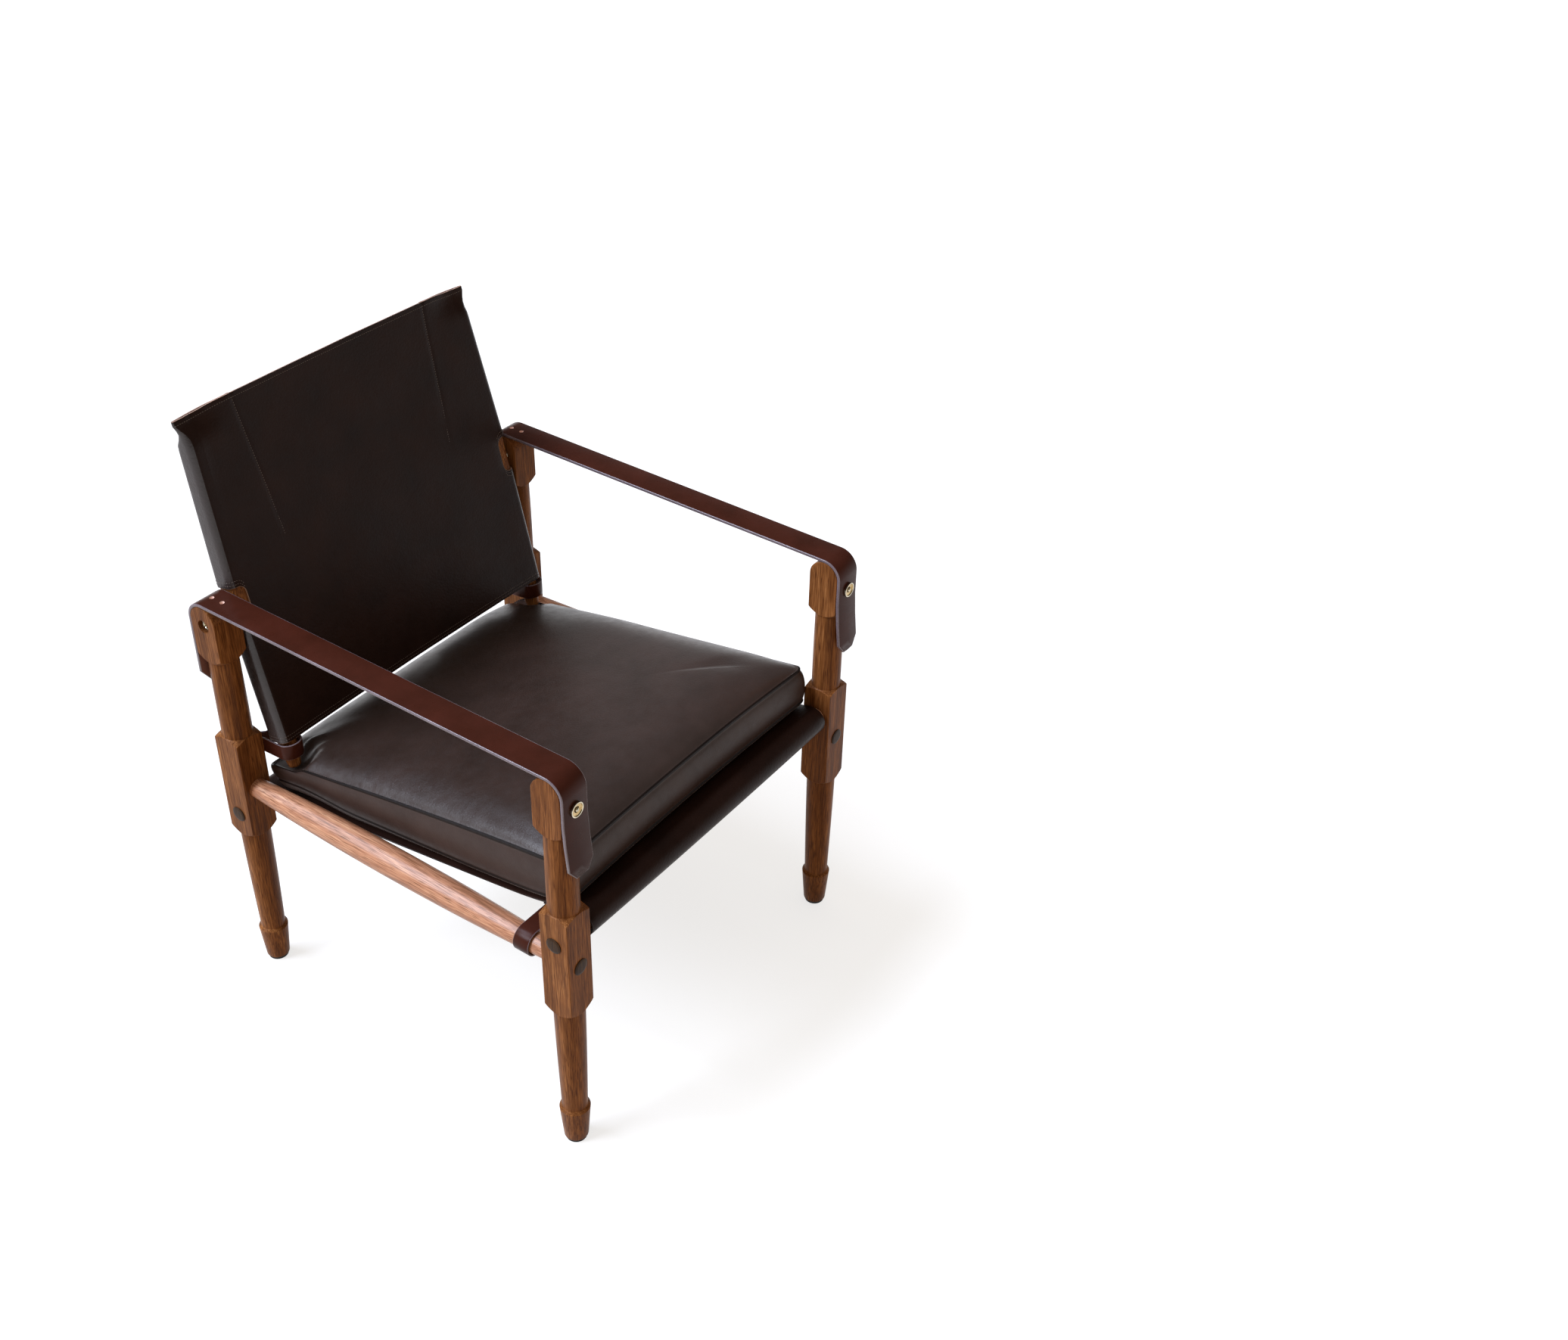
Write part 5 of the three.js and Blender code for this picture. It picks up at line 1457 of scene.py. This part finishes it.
def make_tension_straps():
    for level, height in EYELETS.items():
        droop, bow = TENSIONS[level]
        path = eased(tension_path(height, droop, bow), 2.4, 3)
        halves = []
        for k, point in enumerate(path):
            from_tip = 99
            if k < 12:
                from_tip = OUTER_TIP - point.x
            elif k > len(path) - 12:
                from_tip = point.x - INNER_TIP
            halves.append(11 - 5.5 * (1 - smooth(0, 5, from_tip)))
        tools = []
        for x in (ENGAGED_X, FREE_HOLE_X):
            spot = outer_spot(x, height, droop, bow)
            tools += [drill(2, spot, Y, 3, 16, 3), slit_cutter(spot)]
        bm = cut(strap(path, halves, Z, TENSION_LEATHER, 0.8), tools)
        stand_in("laced", f"tension_strap_{level}", bm, "back", "strap_leather", STRAP_FINISH)


def make_eyelets():
    ring = [(3.3, 13, -1), (3.6, 13.3, -1.25), (4.6, 14.8, -1.45), (5.6, 16.6, -1.05), (6, 17.2, -0.2),
            (5.7, 16.9, 0), (4.4, 14.4, 0), (4.4, 14.4, 3), (5.7, 16.9, 3), (6, 17.2, 3.2), (5.6, 16.6, 4.05),
            (4.6, 14.8, 4.45), (3.6, 13.3, 4.25), (3.3, 13, 4)]
    for level, height in EYELETS.items():
        for side, x_sign in SIDES.items():
            bm = move(oblong_ring(ring), (x_sign * EYELET_X, EYELET_FOOT + 1, height))
            stand_in("oblong", f"eyelet_{level}_{side}", bm, "back", "brass", [brass], crease=50)


STEM = 1.7
BALL = 4.2


def ball_profile(layers):
    """A ball on a stem, with a flat foot behind the leather"""
    seat = -TENSION_LEATHER / 2 - 0.3
    neck = TENSION_LEATHER * layers - TENSION_LEATHER / 2 + 0.3 * layers + 0.3
    start = math.acos(STEM / BALL)
    profile = [(0, seat - 1), (4.4, seat - 1), (4.4, seat), (STEM, seat), (STEM, neck)]
    for angle in steps(-start, math.pi / 2, 12):
        profile.append((BALL * math.cos(angle), neck + BALL * (math.sin(start) + math.sin(angle))))
    return profile


def make_ball_studs():
    for level, height in EYELETS.items():
        for kind, x, rise, layers in (("engaged", ENGAGED_X, 0, 2), ("free", FREE_X, inner_rise(FREE_X), 1)):
            bm = aim(turned(ball_profile(layers), 32), (x, OUTER_LINE, height + rise), Y)
            stand_in("turned", f"ball_stud_{level}_{kind}", bm, "back", "brass", [brass])


# Retaining straps round the feet of the back posts

RETAINING_MIDDLE = 389
RETAINING_SCREW = 8.5
RETAINING_HALF = 12


def retaining_path():
    """The loop in (x, y, rise), from the leg round the leaning post and back to the leg"""
    drop = PIVOT_HEIGHT - RETAINING_MIDDLE
    post_front = HALF_DEEP - (drop + RETAINING_HALF) * math.tan(LEAN) - POST_NECK / math.cos(LEAN)
    post_rear = HALF_DEEP - (drop - RETAINING_HALF) * math.tan(LEAN - TILT) + POST_NECK
    line = SLING_LEATHER / 2
    leg_side = INNER_FACE - 0.3 - line
    around = POST_NECK + 0.75 + line
    seat_side = POST_MIDDLE - around
    nose = post_front + POST_NECK
    rear = HALF_DEEP + HALF_STOCK - 0.3
    lap = leg_side - SLING_LEATHER - 0.3
    centre, reach = (leg_side + seat_side) / 2, (leg_side - seat_side) / 2
    path = [(leg_side, rear, 2), (leg_side, rear - 15, 4), (leg_side, HALF_DEEP - HALF_STOCK, 8)]
    path += [(centre + reach * math.cos(a), nose - around * math.sin(a), 10 + 2 * math.sin(a))
             for a in steps(0, math.pi, 20)]
    heel = post_rear - POST_NECK
    path += [(centre - reach * math.cos(a), heel + around * math.sin(a), lerp(6, 3, math.sin(a)))
             for a in steps(0, math.pi / 2, 8)]
    path += [(lap, rear - 15, 1), (lap, rear, 1)]
    return path


def make_retaining_straps():
    grip = SLING_LEATHER * 2 + 0.9
    head = eased([(1.6, grip), (4, grip), (3.9, grip + 0.8), (2.6, grip + 1.8), (0, grip + 2)], 0.5)
    for side, x_sign in SIDES.items():
        path = [Vector((x_sign * x, y, RETAINING_MIDDLE + rise)) for x, y, rise in retaining_path()]
        bm = strap(path, [RETAINING_HALF] * len(path), -Z * x_sign, SLING_LEATHER, 0.6)
        stand_in("bridle", f"retaining_strap_{side}", bm, "frame", "strap_leather", STRAP_FINISH)
        foot = (x_sign * INNER_FACE, HALF_DEEP + HALF_STOCK - RETAINING_SCREW, RETAINING_MIDDLE)
        screw = aim(turned([(0, -13.7), (1.6, -13.7), *head], 32), foot, -X * x_sign)
        stand_in("turned", f"retaining_screw_{side}", screw, "frame", "nickelled_steel", [steel])


# Seat belt under the cushion

BELT_Y = -HALF_DEEP + 61
BELT_LEATHER = 2.2
BELT_HALF = 12.5


def belt_path():
    """Round both side rails, with a lap under the seat"""
    place = (abs(BELT_Y) - BELT_HALF) / (HALF_DEEP - HALF_STOCK)
    line = RAIL_END + SIDE_SWELL * (1 - place ** 2) + 0.65 + BELT_LEATHER / 2
    path = [(-65, -line)]
    for sign in (1, -1):
        for angle in steps(0, math.pi, 20):
            path.append((sign * (HALF_WIDE + line * math.sin(angle)), -sign * line * math.cos(angle)))
    path += [(-110, -line), (-65.3, -line - BELT_LEATHER - 0.3), (65, -line - BELT_LEATHER - 0.3)]
    return [Vector((x, BELT_Y, SIDE_RAIL + z)) for x, z in path], line


def make_belt():
    path, line = belt_path()
    bm = strap(path, [BELT_HALF] * len(path), -Y, BELT_LEATHER, 0.6)
    stand_in("bridle", "seat_belt", bm, "frame", "strap_leather", STRAP_FINISH)
    grip = BELT_LEATHER * 2 + 0.9
    rivet = [(0, -2.2), (3.5, -2.2), (5, -0.9), (5, 0), (1.6, 0), (1.6, grip), (5, grip), (5, grip + 0.9),
             (3.5, grip + 2.2), (0, grip + 2.2)]
    for side, x_sign in SIDES.items():
        foot = (x_sign * 14, BELT_Y, SIDE_RAIL - line + BELT_LEATHER / 2 + 0.3)
        bm = aim(turned(eased(rivet, 0.6), 32), foot, -Z)
        stand_in("turned", f"belt_stud_{side}", bm, "frame", "nickelled_steel", [steel])


# Studio

SENSOR = 36
LENS_SHARE = 2381.84 / 2072
VIEW_ANGLES = (-56.58, 36.08, 2.15)
VIEW_OFFSET = (0.3487, 0.1515, 2.6147)


def make_camera():
    """The photograph's view of the left chair, solved from both chairs with one lens"""
    azimuth, elevation, roll = (math.radians(value) for value in VIEW_ANGLES)
    level = math.cos(elevation)
    back = Vector((math.sin(azimuth) * level, -math.cos(azimuth) * level, math.sin(elevation)))
    flat = Z.cross(back).normalized()
    upright = back.cross(flat)
    across = flat * math.cos(roll) + upright * math.sin(roll)
    up = upright * math.cos(roll) - flat * math.sin(roll)
    target = Vector((0, middle_y, 0.3))
    lens = bpy.data.cameras.new("camera")
    lens.sensor_width = SENSOR
    lens.lens = SENSOR * LENS_SHARE
    eye = bpy.data.objects.new("camera", lens)
    place = Matrix((across, up, back)).transposed().to_4x4()
    right, above, distance = VIEW_OFFSET
    place.translation = target + across * right + up * above + back * distance
    eye.matrix_world = place
    bpy.context.collection.objects.link(eye)
    bpy.context.scene.camera = eye


def seen_rays(tree):
    """1 for the rays that should find a white studio: the camera's, mirrored and passed ones"""
    path = add(tree, "ShaderNodeLightPath", {})
    both = add(tree, "ShaderNodeMath", {0: path.outputs["Is Camera Ray"], 1: path.outputs["Is Glossy Ray"]},
               operation="MAXIMUM")
    return add(tree, "ShaderNodeMath", {0: both.outputs[0], 1: path.outputs["Is Transmission Ray"]},
               operation="MAXIMUM").outputs[0]


def make_floor():
    """A floor that is white where it is seen, keeps the chair's soft shadow, and bounces warm light"""
    made = bpy.data.materials.new("studio_floor")
    made.use_nodes = True
    tree = made.node_tree
    tree.nodes.clear()
    bounce = add(tree, "ShaderNodeBsdfDiffuse", {"Color": linear("#b09470")})
    paint = add(tree, "ShaderNodeBsdfDiffuse", {"Color": linear("#a3a3a3")})
    glow = add(tree, "ShaderNodeEmission", {"Color": linear("#ffffff"), "Strength": 0.72})
    lit = add(tree, "ShaderNodeAddShader", {0: paint.outputs[0], 1: glow.outputs[0]})
    seen = add(tree, "ShaderNodeMixShader", {0: seen_rays(tree), 1: bounce.outputs[0], 2: lit.outputs[0]})
    add(tree, "ShaderNodeOutputMaterial", {"Surface": seen.outputs[0]})
    bm = bmesh.new()
    bmesh.ops.create_grid(bm, x_segments=1, y_segments=1, size=12)
    mesh = bpy.data.meshes.new("studio_floor")
    bm.to_mesh(mesh)
    bm.free()
    mesh.materials.append(made)
    ground = bpy.data.objects.new("studio_floor", mesh)
    bpy.context.collection.objects.link(ground)


def make_lights():
    """A white studio with a dimmer ceiling, a warm fill, and two cool windows high behind the chair"""
    world = bpy.data.worlds.new("studio")
    world.use_nodes = True
    bpy.context.scene.world = world
    tree = world.node_tree
    tree.nodes.clear()
    fill = add(tree, "ShaderNodeBackground", {"Color": linear("#ffeedb"), "Strength": 0.5})
    way = add(tree, "ShaderNodeTexCoord", {})
    axes = add(tree, "ShaderNodeSeparateXYZ", {0: way.outputs["Generated"]})
    ceiling = add(tree, "ShaderNodeMapRange", {
        "Value": axes.outputs["Z"], "From Min": 0.02, "From Max": 0.3, "To Min": 1, "To Max": 0.12})
    path = add(tree, "ShaderNodeLightPath", {})
    strength = add(tree, "ShaderNodeMath", {0: ceiling.outputs[0], 1: path.outputs["Is Camera Ray"]},
                   operation="MAXIMUM")
    white = add(tree, "ShaderNodeBackground", {"Color": linear("#ffffff"), "Strength": strength.outputs[0]})
    seen = add(tree, "ShaderNodeMixShader", {0: seen_rays(tree), 1: fill.outputs[0], 2: white.outputs[0]})
    add(tree, "ShaderNodeOutputWorld", {"Surface": seen.outputs[0]})
    windows = (
        ("side_window", (-0.62, 0.42, 0.66), 24, 2.9, "#e6efff"),
        ("roof_window", (-0.22, 0.5, 0.84), 24, 2.2, "#dfeaff"),
    )
    for name, source, spread, strength, colour in windows:
        lamp = bpy.data.lights.new(name, "SUN")
        lamp.angle = math.radians(spread)
        lamp.energy = strength
        lamp.color = linear(colour)[:3]
        made = bpy.data.objects.new(name, lamp)
        made.rotation_euler = Vector(source).to_track_quat("Z", "Y").to_euler()
        bpy.context.collection.objects.link(made)


make_camera()
make_floor()
make_lights()
make_legs()
make_glides()
make_rails()
make_caps()
make_arm_straps()
make_arm_studs()
make_seat_sling()
make_cushion()
make_posts()
make_pivots()
make_back_sling()
make_tension_straps()
make_eyelets()
make_ball_studs()
make_retaining_straps()
make_belt()

bpy.context.scene.view_settings.view_transform = "Standard"
